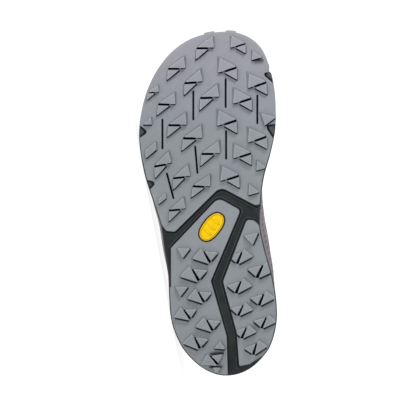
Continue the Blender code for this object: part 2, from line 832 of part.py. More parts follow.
def rib_top(place):
    """Where a rib of the upper ends, and the direction in which it arrives there."""
    along = place.along
    if along >= THROAT_FRONT:
        share = (along - THROAT_FRONT) / (1.0 - THROAT_FRONT)
        top = crest_point(mix(THROAT_FRONT, CREST_FRONT, share))
        inwards = top.xy - place.point
        if inwards.length > 1e-6:
            inwards.normalize()
        rise = 0.35 * place.out.x ** 2
        return top, Vector((inwards.x, inwards.y, rise)).normalized()
    if along >= THROAT_BACK:
        top = crest_point(along)
        half = throat_half(along)
        top.y += place.side * half
        top.z -= THROAT_DROP * half
        throat = Vector((0.0, -place.side, 2.0 * THROAT_DROP)).normalized()
        collar = Vector((0.0, -0.30 * place.side, 1.0)).normalized()
        share = smooth(THROAT_BACK, THROAT_BACK + 0.10, along)
        return top, collar.lerp(throat, share).normalized()
    column = 2 if place.side < 0 else 3
    x = read(COLLAR, along, 1, arc_place) * SOLE_LENGTH
    y = read(COLLAR, along, column, arc_place) * BALL_WIDTH
    z = read(COLLAR, along, 4, arc_place) * HEEL_TAB_HEIGHT
    arrival = Vector((place.out.x * 0.25, place.out.y * -0.30 * (1.0 - place.out.x ** 2), 1.0))
    return Vector((x, y, z)), arrival.normalized()


def hermite(start, leave, end, arrive, share):
    square = share * share
    cube = square * share
    return (
        start * (2.0 * cube - 3.0 * square + 1.0)
        + leave * (cube - 2.0 * square + share)
        + end * (3.0 * square - 2.0 * cube)
        + arrive * (cube - square)
    )


def rib_point(place, level):
    """A point on the upper's side: level -1 is the feather edge, 0 the top of the sole's
    lip, 1 the widest place and 2 the crest, throat or collar."""
    lip = LIP_INSET + CUP_LIP + CLEARANCE + toe_inset(place.along)
    lip_z = lip_top(place.along, place.side)
    foot = place.at(-lip - CUP_SLOPE, bed(place.along) + GAP)
    feather = place.at(-lip, lip_z)
    if level <= 0.0:
        return foot.lerp(feather, level + 1.0)
    top, arrival = rib_top(place)
    swell = read(SWELL, place.along, 1 if place.side < 0 else 2) * BALL_WIDTH
    swell -= 0.4 * toe_inset(place.along)
    rise = 0.34 * (top.z - lip_z)
    widest = place.at(swell, lip_z + rise)
    if level <= 1.0:
        span = (widest - feather).length
        leave = (feather - foot).normalized() * span
        return hermite(feather, leave, widest, Vector((0.0, 0.0, span)), level)
    span = (top - widest).length
    return hermite(widest, Vector((0.0, 0.0, span * 0.9)), top, arrival * span, level - 1.0)


def rand_level(place):
    """Top of the overlay band round the foot: high at the toe and heel, low at the waist."""
    toe = smooth(0.80, 0.97, place.along)
    heel = 1.0 - smooth(0.06, 0.26, place.along)
    return 0.62 + 0.62 * toe + 0.85 * heel


def stay_level(place):
    """Lower edge of the eyestay along the throat."""
    return 1.70 - 0.10 * smooth(0.45, 0.65, place.along)


def upper_levels(place):
    """Rows of the upper's wall from the feather edge to the top, each with its step."""
    rand = rand_level(place)
    stay = stay_level(place)
    throat = smooth(THROAT_BACK - 0.09, THROAT_BACK, place.along)
    throat *= 1.0 - smooth(THROAT_FRONT, THROAT_FRONT + 0.08, place.along)
    rows = [(-1.0, 0.0), (0.0, 0.0), (0.40 * rand, 1.0), (0.75 * rand, 1.0), (rand - 0.02, 1.0)]
    rows.append((rand + 0.02, 0.0))
    for share in (0.30, 0.62):
        rows.append((mix(rand, stay, share), 0.0))
    rows += [(stay - 0.02, 0.0), (stay + 0.02, throat), (1.86, throat), (2.0, throat)]
    return rows


def wall_at(along, height_share):
    """Thickness of the wall: even below, padded round the collar."""
    collar = 1.0 - smooth(THROAT_BACK - 0.11, THROAT_BACK - 0.01, along)
    return WALL + COLLAR_PAD * collar * smooth(0.55, 0.92, height_share)


def upper_grid(solid, shift):
    """Rows of vertices round the upper. Ribs of both sides share their crest points."""
    grid = []
    count = len(RIM)
    for k, place in enumerate(RIM):
        column = []
        levels = upper_levels(place)
        for row, (level, step) in enumerate(levels):
            mirror = grid[count - k] if k > TOE_INDEX else None
            shared = row == len(levels) - 1 and mirror and place.along >= THROAT_FRONT
            if shared:
                column.append(mirror[row])
            else:
                column.append(solid.verts.new(rib_point(place, level) + shift(k, row)))
        grid.append(column)
    return grid


def grid_faces(solid, grid):
    count = len(grid)
    for k in range(count):
        after = (k + 1) % count
        for row in range(len(grid[0]) - 1):
            corners = [grid[k][row], grid[after][row], grid[after][row + 1], grid[k][row + 1]]
            unique = list(dict.fromkeys(corners))
            if len(unique) >= 3:
                solid.faces.new(unique)


def upper_normals():
    """Outward direction of every grid vertex of the bare upper surface."""
    surface = bmesh.new()
    grid = upper_grid(surface, lambda k, row: Vector())
    grid_faces(surface, grid)
    surface.normal_update()
    middle = Vector((0.5 * SOLE_LENGTH, 0.0, 0.05))
    side = grid[TOE_INDEX // 2][4]
    flip = 1.0 if side.normal.dot(side.co - middle) > 0.0 else -1.0
    normals = [[vertex.normal.copy() * flip for vertex in column] for column in grid]
    surface.free()
    return normals


def build_upper():
    """One hollow wall, open below, at the throat and at the collar."""
    normals = upper_normals()
    solid = bmesh.new()
    levels = [upper_levels(place) for place in RIM]
    rows = len(levels[0])

    def outer(k, row):
        return normals[k][row] * (OVERLAY * levels[k][row][1])

    def inner(k, row):
        direction = normals[k][row].copy()
        if row == 0:
            direction.z = 0.0
            direction.normalize()
        return direction * -wall_at(RIM[k].along, row / (rows - 1))

    outside = upper_grid(solid, outer)
    inside = upper_grid(solid, inner)
    grid_faces(solid, outside)
    grid_faces(solid, inside)
    count = len(RIM)
    open_top = [RIM[k].along < THROAT_FRONT for k in range(count)]
    for k in range(count):
        after = (k + 1) % count
        solid.faces.new((outside[k][0], outside[after][0], inside[after][0], inside[k][0]))
        if open_top[k] or open_top[after]:
            corners = [outside[k][-1], outside[after][-1], inside[after][-1], inside[k][-1]]
            solid.faces.new(list(dict.fromkeys(corners)))
    outward(solid)
    return new_object("upper", solid, "mesh")


def wall_frame(along, side, level):
    """A point on the upper's outer face and the direction out of the wall there."""
    place = RimPlace(along, side)
    ahead = RimPlace(along + 0.01, side)
    place.out = Vector((0.0, side))
    ahead.out = Vector((0.0, side))
    point = rib_point(place, level)
    up = point - rib_point(place, level - 0.10)
    forwards = rib_point(ahead, level) - point
    out = up.cross(forwards).normalized()
    if out.z < 0.0:
        out = -out
    return point, out


def eyelet_place(row, side):
    """Middle of an eyelet on the eyestay and the direction out of the wall."""
    front = THROAT_FRONT - 0.045
    back = THROAT_BACK + 0.014
    return wall_frame(mix(front, back, row / (EYELET_ROWS - 1)), side, EYELET_LEVEL)


def punch_eyelets(upper):
    holes = bmesh.new()
    for row in range(EYELET_ROWS):
        for side in (-1, 1):
            middle, out = eyelet_place(row, side)
            turn = out.to_track_quat("Z", "Y").to_matrix().to_4x4()
            place = Matrix.Translation(middle) @ turn
            bmesh.ops.create_cone(
                holes, cap_ends=True, segments=8, radius1=EYELET_RADIUS, radius2=EYELET_RADIUS,
                depth=4.0 * WALL, matrix=place,
            )
    boolean(upper, cutter("eyelet_holes", holes), "DIFFERENCE")


# Tongue, insole and lace

def tongue_section(along, drop):
    """Points across the tongue: its edges lie under the wall, its middle fills the throat."""
    inside = min(max(along, THROAT_BACK + 0.004), THROAT_FRONT - 0.012)
    under_vamp = smooth(THROAT_FRONT - 0.10, THROAT_FRONT - 0.02, along)
    crest = crest_point(inside)
    half = throat_half(inside)
    points = []
    for side in (-1, 1):
        edge = []
        for level in TONGUE_LEVELS:
            point, out = wall_frame(inside, side, level)
            edge.append(point - out * (WALL + mix(1.0, 1.8, under_vamp) * TONGUE_ROOM + drop))
        offset = 0.42 * half * side
        sink = mix(1.2 * TONGUE_ROOM, WALL + 1.6 * TONGUE_ROOM, under_vamp) + 1.2 * drop
        curve = THROAT_DROP * offset * offset / half
        edge.append(Vector((crest.x, crest.y + offset, crest.z - curve - sink)))
        points += edge if side < 0 else edge[::-1]
    if along > inside:
        shift = crest_point(along) - crest
        return [point + shift for point in points]
    back = inside - along
    if back <= 0.0:
        return points
    shift = Vector((-back, 0.0, TONGUE_RISE * back)) * SOLE_LENGTH
    narrow = 1.0 - 0.40 * smooth(0.03, TONGUE_OVER + 0.012, back) - 3.0 * back
    middle = crest.y
    for point in points:
        point.y = middle + (point.y - middle) * narrow
        point.z -= 0.6 * max(back - 0.045, 0.0) * abs(point.y - middle)
    return [point + shift for point in points]


def build_tongue():
    """A padded tongue from under the vamp to above the collar."""
    solid = bmesh.new()
    stations = [mix(THROAT_FRONT + 0.025, THROAT_BACK, k / 11) for k in range(12)]
    stations += [THROAT_BACK - TONGUE_OVER * share for share in (0.30, 0.58, 0.80, 0.93, 1.0)]
    sections = []
    for along in stations:
        top = [solid.verts.new(point) for point in tongue_section(along, 0.0)]
        low = [solid.verts.new(point) for point in tongue_section(along, TONGUE)]
        sections.append(top + low[::-1])
    ring_band(solid, sections)
    solid.faces.new(sections[0])
    solid.faces.new(sections[-1])
    outward(solid)
    return new_object("tongue", solid, "tongue")


def build_insole():
    """The footbed inside the upper, a little thinner within its edge."""
    solid = bmesh.new()
    lip = LIP_INSET + CUP_LIP + CLEARANCE + CUP_SLOPE + WALL + CLEARANCE
    rings = []
    for inset, thick in ((0.0, 0.0), (0.0, 1.0), (INSOLE_RIM, 0.92)):
        ring = []
        for place in RIM:
            height = bed(place.along) + GAP + INSOLE * thick
            edge = lip + inset + toe_inset(place.along)
            ring.append(solid.verts.new(place.at(-edge, height)))
        rings.append(ring)
    ring_band(solid, rings)
    ladder_cap(solid, rings[0])
    ladder_cap(solid, rings[-1])
    outward(solid)
    return new_object("insole", solid, "lining")


def lace_path(first, last):
    """Centre points of one crossing, arched over the tongue from eyelet to eyelet."""
    (row, side), (end_row, end_side) = first, last
    start, start_out = eyelet_place(row, side)
    end, end_out = eyelet_place(end_row, end_side)
    above = OVERLAY + LACE_RADIUS + 5.0 * GAP
    start = start + start_out * (above + 2.0 * GAP)
    end = end + end_out * (above + 2.0 * GAP)
    points = [start]
    for share in (0.14, 0.32, 0.5, 0.68, 0.86):
        point = start.lerp(end, share)
        along = point.x / SOLE_LENGTH
        crest = crest_point(along)
        offset = point.y - crest.y
        half = throat_half(along)
        slope = 2.0 * THROAT_DROP * offset / half
        point.z = crest.z - THROAT_DROP * offset * offset / half + above * math.hypot(1.0, slope)
        points.append(point)
    return points, end


def tube(name, points):
    """A round tube on a poly line, as a closed mesh."""
    curve = bpy.data.curves.new(name, "CURVE")
    curve.dimensions = "3D"
    curve.bevel_depth = LACE_RADIUS
    curve.bevel_resolution = 1
    curve.use_fill_caps = True
    spline = curve.splines.new("POLY")
    spline.points.add(len(points) - 1)
    for target, point in zip(spline.points, points):
        target.co = (*point, 1.0)
    guide = bpy.data.objects.new(name, curve)
    CUTTERS.objects.link(guide)
    bpy.context.view_layer.update()
    evaluated = guide.evaluated_get(bpy.context.evaluated_depsgraph_get())
    mesh = bpy.data.meshes.new_from_object(evaluated)
    solid = bmesh.new()
    solid.from_mesh(mesh)
    bmesh.ops.remove_doubles(solid, verts=solid.verts[:], dist=1e-6)
    outward(solid)
    bpy.data.objects.remove(guide)
    bpy.data.meshes.remove(mesh)
    return solid


def build_lace():
    """Two zigzags from the bottom bar to the top eyelets, joined where they cross."""
    strands = []
    for start_side in (-1, 1):
        points = []
        side = start_side
        for row in range(EYELET_ROWS - 1):
            crossing, end = lace_path((row, side), (row + 1, -side))
            points += crossing
            side = -side
        points.append(end)
        strands.append(points)
    bar, end = lace_path((0, -1), (0, 1))
    strands.append(bar + [end])
    lace = new_object("lace", tube("strand", strands[0]), "lace")
    for points in strands[1:]:
        boolean(lace, cutter("strand", tube("strand", points)), "UNION")
    return lace


# Resting on its side

def rest_pose(parts):
    """Turns the shoe onto the face of its convex hull that lies under its outer side."""
    cloud = bmesh.new()
    weight = 0.0
    balance = Vector()
    for part in parts:
        solid = bmesh.new()
        solid.from_mesh(part.data)
        volume = abs(solid.calc_volume())
        middle = Vector()
        for vertex in solid.verts:
            middle += vertex.co
            cloud.verts.new(vertex.co)
        balance += middle / len(solid.verts) * volume
        weight += volume
        solid.free()
    balance /= weight
    hull = bmesh.ops.convex_hull(cloud, input=cloud.verts[:])
    best = None
    outer_side = Vector((0.0, -1.0, 0.0))
    for face in hull["geom"]:
        if not isinstance(face, bmesh.types.BMFace):
            continue
        face.normal_update()
        normal = face.normal.copy()
        corner = face.verts[0].co
        if normal.dot(corner - balance) < 0.0:
            normal = -normal
        reach = normal.dot(corner - balance)
        lands = balance + normal * reach
        inside = triangle_holds(face, lands)
        score = normal.dot(outer_side)
        if inside and score > 0.7 and (best is None or score > best[0]):
            best = (score, normal, corner.copy())
    cloud.free()
    _, down, corner = best
    toe = Vector((1.0, 0.0, 0.0))
    forwards = (toe - down * toe.dot(down)).normalized()
    x_axis = -forwards
    z_axis = -down
    y_axis = z_axis.cross(x_axis)
    turn = Matrix((x_axis, y_axis, z_axis)).to_4x4()
    height = (turn @ corner).z
    return turn, height, down


def triangle_holds(face, point):
    """True where a point on a triangle's plane lies inside the triangle."""
    a, b, c = (vertex.co for vertex in face.verts[:3])
    cross = (b - a).cross(c - a)
    for first, second in ((a, b), (b, c), (c, a)):
        if cross.dot((second - first).cross(point - first)) < 0.0:
            return False
    return True


def flatten_contacts(parts, down, floor_reach):
    """Presses flat spots where sole edge and upper touch the floor."""
    for part in parts:
        solid = bmesh.new()
        solid.from_mesh(part.data)
        reach = max(down.dot(vertex.co) for vertex in solid.verts)
        if reach > floor_reach:
            geometry = solid.verts[:] + solid.edges[:] + solid.faces[:]
            cut = bmesh.ops.bisect_plane(
                solid, geom=geometry, dist=1e-6, plane_co=down * floor_reach, plane_no=down,
                clear_outer=True,
            )
            rim = [item for item in cut["geom_cut"] if isinstance(item, bmesh.types.BMEdge)]
            bmesh.ops.holes_fill(solid, edges=rim, sides=0)
            outward(solid)
            solid.to_mesh(part.data)
        solid.free()


def lay_down(parts):
    """Parents every part to one empty that lays the shoe on the floor."""
    turn, height, down = rest_pose(parts)
    floor_reach = -height - FLAT_SPOT
    flatten_contacts(parts, down, floor_reach)
    corners = [turn @ vertex.co for part in parts for vertex in part.data.vertices]
    low_x = min(corner.x for corner in corners)
    high_x = max(corner.x for corner in corners)
    low_y = min(corner.y for corner in corners)
    high_y = max(corner.y for corner in corners)
    shift = Vector((-0.5 * (low_x + high_x), -0.5 * (low_y + high_y), floor_reach))
    rest = bpy.data.objects.new("rest_on_side", None)
    SHOE.objects.link(rest)
    rest.matrix_world = Matrix.Translation(shift) @ turn
    bpy.context.view_layer.update()
    for part in parts:
        part.parent = rest
    return rest


def shade(part):
    part.data.shade_smooth()
    part.data.set_sharp_from_angle(angle=math.radians(38.0))


for old in list(bpy.data.objects):
    bpy.data.objects.remove(old)
SHOE = bpy.data.collections.new("trail_running_shoe")
CUTTERS = bpy.data.collections.new("cutters")
bpy.context.scene.collection.children.link(SHOE)
bpy.context.scene.collection.children.link(CUTTERS)

PARTS = [
    build_midsole(),
    build_front_pod(),
    build_outer_heel_pod(),
    build_pod("outsole_heel_inner", INNER_HEEL_POD, INNER_HEEL_LUGS, HEEL_WIDTH),
    build_badge(),
    build_insole(),
    build_upper(),
    build_tongue(),
    build_lace(),
]
bend_to_ground(PARTS[3])
punch_eyelets(PARTS[6])
lay_down(PARTS)
for shoe_part in PARTS:
    shade(shoe_part)
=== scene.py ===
"""Looks of the right trail running shoe, lying on its outer side.

The shoe's own axes run from the heel to the toe (X), towards the inner side (Y) and up from
the ground (Z). Every piece is worked out in those axes and then laid on the floor.
"""

import json
import math

import bmesh
import bpy
from mathutils import Matrix, Vector

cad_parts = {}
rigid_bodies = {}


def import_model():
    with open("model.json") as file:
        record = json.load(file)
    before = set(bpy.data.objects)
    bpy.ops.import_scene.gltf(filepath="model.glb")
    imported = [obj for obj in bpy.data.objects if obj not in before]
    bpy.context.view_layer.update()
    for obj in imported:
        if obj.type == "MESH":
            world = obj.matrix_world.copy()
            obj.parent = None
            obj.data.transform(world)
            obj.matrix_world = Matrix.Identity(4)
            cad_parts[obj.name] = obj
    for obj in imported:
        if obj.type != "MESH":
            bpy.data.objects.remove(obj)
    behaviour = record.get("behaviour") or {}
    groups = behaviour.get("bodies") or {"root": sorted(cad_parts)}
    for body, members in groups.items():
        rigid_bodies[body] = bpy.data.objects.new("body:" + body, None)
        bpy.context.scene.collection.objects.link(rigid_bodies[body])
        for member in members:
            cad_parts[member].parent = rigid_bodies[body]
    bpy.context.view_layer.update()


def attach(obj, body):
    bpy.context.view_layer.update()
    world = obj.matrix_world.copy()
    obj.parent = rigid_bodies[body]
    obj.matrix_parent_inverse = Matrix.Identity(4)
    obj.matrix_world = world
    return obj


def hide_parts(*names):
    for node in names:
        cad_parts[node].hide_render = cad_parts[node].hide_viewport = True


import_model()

# Where the shoe lies: the floor's upward direction in the shoe's axes, and the shoe's origin
UP_IN_SHOE = Vector((0.182372, 0.981688, -0.055030)).normalized()
SHOE_ORIGIN = Vector((0.137344, -0.058226, 0.034019))

# Driving sizes: metres, degrees, levels of a rib, and shares of the sole's length or width
SOLE_LENGTH = 0.278
BALL_WIDTH = 0.110
HEEL_WIDTH = 0.0865
HEEL_BED = 0.029
BALL_BED = 0.022
TOE_SPRING = 0.016
HEEL_BEVEL = 0.005
LUG_HEIGHT = 0.0035
RUBBER = 0.0022
TOE_WRAP = 0.0018
TOE_WRAP_START = 0.895
BADGE_LENGTH = 0.0265
BADGE_WIDTH = 0.0150
BADGE_RECESS = 0.0012
BADGE_TURN = 38.0
BADGE_PLACE = (0.432, -0.1021)
CUP_LIP = 0.0016
CUP_SLOPE = 0.0024
SIDE_STEP = 0.0014
HEEL_TAB_HEIGHT = 0.106
INSTEP_HEIGHT = 0.111
WALL = 0.0024
COLLAR_PAD = 0.0060
OVERLAY = 0.0010
TONGUE = 0.0040
INSOLE = 0.0045
EYELET_RADIUS = 0.0022
EYELET_ROWS = 6
EYELET_LEVEL = 1.885
TONGUE_OVER = 0.070
TONGUE_RISE = 0.60
TONGUE_LEVELS = (1.80, 1.89, 1.97)
TONGUE_ROOM = 0.0010
GAP = 0.0003
CLEARANCE = 0.0006
THROAT_FRONT = 0.70
THROAT_BACK = 0.44
CREST_FRONT = 0.93
THROAT_DROP = 0.35
SIDE_STATIONS = 128
FIRST_EYELET = THROAT_FRONT - 0.045
LAST_EYELET = THROAT_BACK + 0.014

# Rubber: a pod's flared wall and soft edge, its long grooves, the teeth of small lugs, the
# channel's lines across in half widths and up in metres, and the toe's ribs. Each groove
# reaches a little further than its row says, in shares of the sole's length.
PLATE_FLARE = 0.0011
PLATE_EDGE = 0.0004
GROOVE_WIDTH = 0.00165
GROOVE_DEPTH = 0.0017
GROOVE_REACH = 0.002
TOOTH_PITCH = 0.00060
TOOTH_WIDTH = 0.00034
TOOTH_HEIGHT = 0.0030
TOOTH_LEVEL = 0.0022
LINE_SECTION = ((-1.6, 0.0001), (-0.8, -0.00022), (0.8, -0.00022), (1.6, 0.0001))
RIB_EDGE = 0.003
RIB_HEIGHT = 0.0011

# The toe's rubber: its height and how far it rounds inwards, each at the waist and at the
# toe, and how far its ends draw in
RAND_RISE = (0.0021, 0.0115)
RAND_ROUND = (0.0009, 0.0034)
RAND_END = 0.0016

# Half the soft edge of a band on the upper, in levels of a rib, and faces round the top edge
BAND_EDGE = 0.016
ROLL_STEPS = 6

# Cord and thread: how far a seam and the lace's middle lie off the bare wall, and the corners
# of the lace's section
LACE_WIDTH = 0.0044
LACE_THICK = 0.0013
STITCH_LENGTH = 0.0019
STITCH_PITCH = 0.0027
STITCH_WIDTH = 0.0005
RING_WIRE = 0.0005
SEAM_LIFT = 0.0001
LACE_LIFT = OVERLAY + 0.5 * LACE_THICK + 0.0004
LACE_SIDES = 12

# Levels of a rib: the ends of the eyestay's lower edge, two seams above that edge, one at the
# throat and one under the collar
STAY_END = 1.975
STAY_SEAMS = (0.045, 0.085)
THROAT_SEAM = 1.972
COLLAR_SEAM = 1.555

# Camera: distance, sensor, the picture's side in pixels, and the size of a pixel at the sole
CAMERA_DISTANCE = 5.0
SENSOR = 36.0
PICTURE = 416.0
PIXEL = 0.000805

# The sole's edge: along, then its outer and inner side in shares of the local width
OUTLINE = (
    (0.000, 0.023, 0.023),
    (0.018, -0.177, 0.229),
    (0.053, -0.315, 0.358),
    (0.087, -0.399, 0.433),
    (0.157, -0.489, 0.491),
    (0.226, -0.510, 0.485),
    (0.296, -0.509, 0.435),
    (0.365, -0.520, 0.359),
    (0.435, -0.525, 0.301),
    (0.504, -0.559, 0.292),
    (0.574, -0.595, 0.302),
    (0.643, -0.615, 0.342),
    (0.713, -0.622, 0.375),
    (0.783, -0.597, 0.379),
    (0.852, -0.539, 0.362),
    (0.922, -0.428, 0.311),
    (0.956, -0.338, 0.264),
    (0.985, -0.206, 0.176),
    (1.000, 0.022, 0.022),
)

# Height of the midsole's lip above its bed, in shares of the heel's bed height: along,
# outer side, inner side
LIP_HEIGHT = (
    (0.00, 0.276, 0.276),
    (0.20, 0.241, 0.241),
    (0.40, 0.172, 0.207),
    (0.70, 0.172, 0.172),
    (1.00, 0.207, 0.207),
)

# How far the upper stands out past the sole's edge, in shares of the ball width: along,
# outer side, inner side
SWELL = (
    (0.00, -0.027, -0.027),
    (0.10, -0.036, -0.036),
    (0.20, -0.032, -0.020),
    (0.28, -0.005, 0.011),
    (0.36, 0.008, 0.039),
    (0.42, 0.009, 0.048),
    (0.48, 0.000, 0.029),
    (0.55, -0.018, -0.009),
    (0.65, -0.025, -0.022),
    (0.85, -0.027, -0.024),
    (1.00, -0.027, -0.027),
)

# The crest over toes and instep: along, across, share of the instep height
CREST = (
    (0.93, 0.010, 0.535),
    (0.88, -0.015, 0.580),
    (0.80, -0.035, 0.630),
    (0.70, -0.055, 0.700),
    (0.60, -0.060, 0.815),
    (0.50, -0.050, 0.940),
    (0.44, -0.038, 1.000),
)

# Half the throat's width: along, share of the ball width
THROAT = (
    (0.44, 0.215),
    (0.50, 0.188),
    (0.58, 0.160),
    (0.64, 0.130),
    (0.68, 0.090),
)

# The collar's edge: along where the side starts, along of the edge itself, outer and inner
# side across, share of the heel tab's height
COLLAR = (
    (0.000, 0.010, 0.012, 0.012, 1.000),
    (0.006, 0.011, -0.070, 0.094, 0.995),
    (0.020, 0.016, -0.128, 0.150, 0.970),
    (0.055, 0.038, -0.192, 0.210, 0.910),
    (0.110, 0.095, -0.262, 0.268, 0.820),
    (0.200, 0.195, -0.318, 0.302, 0.748),
    (0.300, 0.300, -0.330, 0.278, 0.775),
    (0.370, 0.375, -0.300, 0.228, 0.868),
    (0.440, 0.440, -0.253, 0.177, 0.968),
)

# The midsole's side, finely: how far inside the edge in shares of its step, share of height
SIDE_PROFILE = (
    (0.75, 0.00),
    (0.36, 0.03),
    (0.10, 0.08),
    (0.00, 0.14),
    (0.00, 0.30),
    (0.05, 0.42),
    (0.25, 0.48),
    (0.80, 0.52),
    (1.00, 0.56),
    (0.88, 0.62),
    (0.80, 0.80),
    (0.84, 0.92),
    (1.05, 0.98),
    (1.50, 1.00),
)

# Creases of the vamp: along at the crest, depth in metres, half its width in metres
CREASES = (
    (0.742, -0.0011, 0.0036),
    (0.762, 0.0007, 0.0042),
    (0.783, -0.0014, 0.0034),
    (0.805, 0.0007, 0.0045),
    (0.828, -0.0009, 0.0038),
)

# Pods of the outsole: along, across, corner radius as a share of the ball width
FRONT_POD = (
    (0.420, -0.4805, 0.018), (0.418, -0.4113, 0.029), (0.548, -0.0273, 0.065),
    (0.486, 0.2925, 0.036), (0.542, 0.2875, 0.0), (0.655, 0.4783, 0.0), (1.032, 0.4760, 0.0),
    (1.032, -0.6950, 0.0), (0.655, -0.6984, 0.0), (0.539, -0.5740, 0.0), (0.445, -0.5247, 0.0),
)
OUTER_HEEL_POD = (
    (0.370, -0.4611, 0.022), (0.516, -0.0449, 0.058), (0.480, 0.1315, 0.029),
    (0.276, -0.1213, 0.011), (0.115, 0.0242, 0.044), (-0.025, 0.0369, 0.0),
    (-0.025, -0.6511, 0.0), (0.221, -0.6502, 0.0), (0.258, -0.4897, 0.0),
)
INNER_HEEL_POD = (
    (0.431, 0.3008, 0.029), (0.451, 0.2495, 0.036), (0.454, 0.1864, 0.029),
    (0.274, -0.0100, 0.044), (0.128, 0.1157, 0.145), (0.028, 0.1412, 0.011),
    (0.034, 0.2378, 0.0), (0.064, 0.3866, 0.0), (0.090, 0.5850, 0.0), (0.308, 0.5665, 0.0),
)

# Notches in the edge of the front pod
NOTCHES = (
    ((0.733, -0.6590, 0.0), (0.724, -0.6090, 0.009), (0.707, -0.5560, 0.018), (0.678, -0.6598, 0.0)),
    ((0.572, -0.6631, 0.0), (0.567, -0.5661, 0.009), (0.560, -0.5161, 0.018), (0.533, -0.5930, 0.0),
     (0.530, -0.6789, 0.0)),
    ((0.893, 0.4400, 0.0), (0.887, 0.3200, 0.009), (0.874, 0.2880, 0.018), (0.838, 0.3950, 0.0)),
    ((0.735, 0.4400, 0.0), (0.727, 0.3120, 0.009), (0.716, 0.3160, 0.009), (0.678, 0.3785, 0.0)),
)

# Lug shapes from a lug's own middle: forwards as a share of the sole's length and inwards
# as a share of the ball or heel width. Each has its worn face first, then its wider foot.
# After them come the cuts, in metres: forwards and inwards of both ends, and width. The
# widest cut parts the two halves, the thin ones undercut the rear edges, and the flanks of
# the heel's lugs have wider, paler ones. The cuts' walls are painted black or dark as shade.
SLOT = 0.0019
CREASE = 0.0010
FLANK = 0.0016
OUTER_WEDGE = (
    (((0.0, 0.0636), (0.0, -0.0636), (0.0338, 0.0527)),
     ((0.0, 0.0700), (0.0, -0.0736), (0.0424, 0.0655))),
    (((-0.0050, -0.0682), (-0.0050, 0.0191), (-0.0371, -0.0764)),
     ((-0.0050, -0.0755), (-0.0050, 0.0273), (-0.0403, -0.0836))),
), (
    (-0.0007, -0.0078, -0.0007, 0.0021, SLOT),
    (-0.0002, 0.0034, -0.0002, 0.0072, CREASE),
    (-0.0020, 0.0026, -0.0110, -0.0089, CREASE),
)
INNER_WEDGE = (
    (((-0.0086, -0.0664), (0.0090, 0.0664), (0.0335, -0.0545)),
     ((-0.0097, -0.0745), (0.0104, 0.0764), (0.0417, -0.0727))),
    (((-0.0076, -0.0200), (0.0040, 0.0682), (-0.0288, 0.0709)),
     ((-0.0086, -0.0282), (0.0050, 0.0764), (-0.0320, 0.0782))),
), (
    (-0.0014, -0.0021, 0.0018, 0.0076, SLOT),
    (-0.0026, -0.0073, -0.0018, -0.0036, CREASE),
    (-0.0031, -0.0021, -0.0088, 0.0083, CREASE),
)
OUTER_HEEL_PAIR = (
    (((0.0248, -0.0602), (-0.0043, -0.1410), (-0.0201, 0.0209)),
     ((0.0291, -0.0682), (-0.0058, -0.1572), (-0.0234, 0.0266))),
    (((0.0158, -0.0243), (0.0129, 0.0994), (-0.0119, 0.0277)),
     ((0.0191, -0.0300), (0.0155, 0.1145), (-0.0155, 0.0347))),
), (
    (0.0044, -0.0029, -0.0044, 0.0021, SLOT),
    (-0.0020, -0.0117, -0.0062, 0.0006, FLANK),
    (-0.0036, 0.0036, 0.0022, 0.0082, FLANK),
)
INNER_HEEL_PAIR = (
    (((0.0248, 0.0497), (0.0036, 0.1295), (-0.0183, -0.0057)),
     ((0.0291, 0.0554), (0.0029, 0.1456), (-0.0212, -0.0093))),
    (((0.0151, 0.0184), (0.0043, -0.0972), (-0.0147, -0.0197)),
     ((0.0183, 0.0231), (0.0043, -0.1133), (-0.0183, -0.0243))),
), (
    (0.0045, 0.0023, -0.0050, -0.0015, SLOT),
    (0.0000, 0.0106, -0.0057, 0.0003, FLANK),
    (-0.0045, -0.0028, 0.0000, -0.0082, FLANK),
)
OUTER_SPLINTER = (
    (((0.0, 0.0364), (0.0, -0.0273), (0.0223, 0.0309)),
     ((-0.0022, 0.0427), (-0.0022, -0.0364), (0.0281, 0.0382))),
), ((-0.0006, -0.0035, -0.0006, 0.0042, CREASE),)
INNER_SPLINTER = (
    (((-0.0043, -0.0327), (0.0036, 0.0382), (0.0237, -0.0273)),
     ((-0.0068, -0.0382), (0.0022, 0.0473), (0.0302, -0.0364))),
), ((-0.0018, -0.0038, 0.0005, 0.0044, CREASE),)
SLANT_BAR = (
    (((-0.0216, -0.0400), (0.0036, 0.0364), (0.0259, 0.0309), (0.0, -0.0455)),
     ((-0.0252, -0.0455), (0.0029, 0.0436), (0.0302, 0.0382), (0.0014, -0.0527))),
), ((-0.0068, -0.0044, 0.0004, 0.0045, CREASE),)
HEEL_ARROW = (
    (((0.0122, -0.0579), (0.0108, 0.0579), (-0.0158, -0.0093)),
     ((0.0151, -0.0740), (0.0137, 0.0740), (-0.0201, -0.0093))),
), ((0.0026, 0.0055, -0.0048, -0.0003, FLANK),)
HEEL_PEAK = (
    (((0.0129, 0.0), (-0.0086, -0.0509), (-0.0108, 0.0486)),
     ((0.0173, 0.0), (-0.0115, -0.0670), (-0.0144, 0.0647))),
), ((-0.0030, -0.0042, -0.0037, 0.0041, FLANK),)
LAST_PAIR = OUTER_HEEL_PAIR[0], OUTER_HEEL_PAIR[1][:1]
BARE_ARROW = HEEL_ARROW[0], ()

# A lug's wedge from its worn face down to its foot: outwards in metres, share of the way from
# the face's corners to the foot's, and height
LUG_PROFILE = (
    (-0.00042, 0.00, 0.00000), (-0.00012, 0.00, 0.00010), (0.0, 0.03, 0.00040),
    (0.0, 0.16, 0.00120), (0.0, 0.42, 0.00220), (0.0, 0.80, 0.00300), (0.0, 1.18, 0.00350),
    (0.0, 1.25, 0.00410),
)

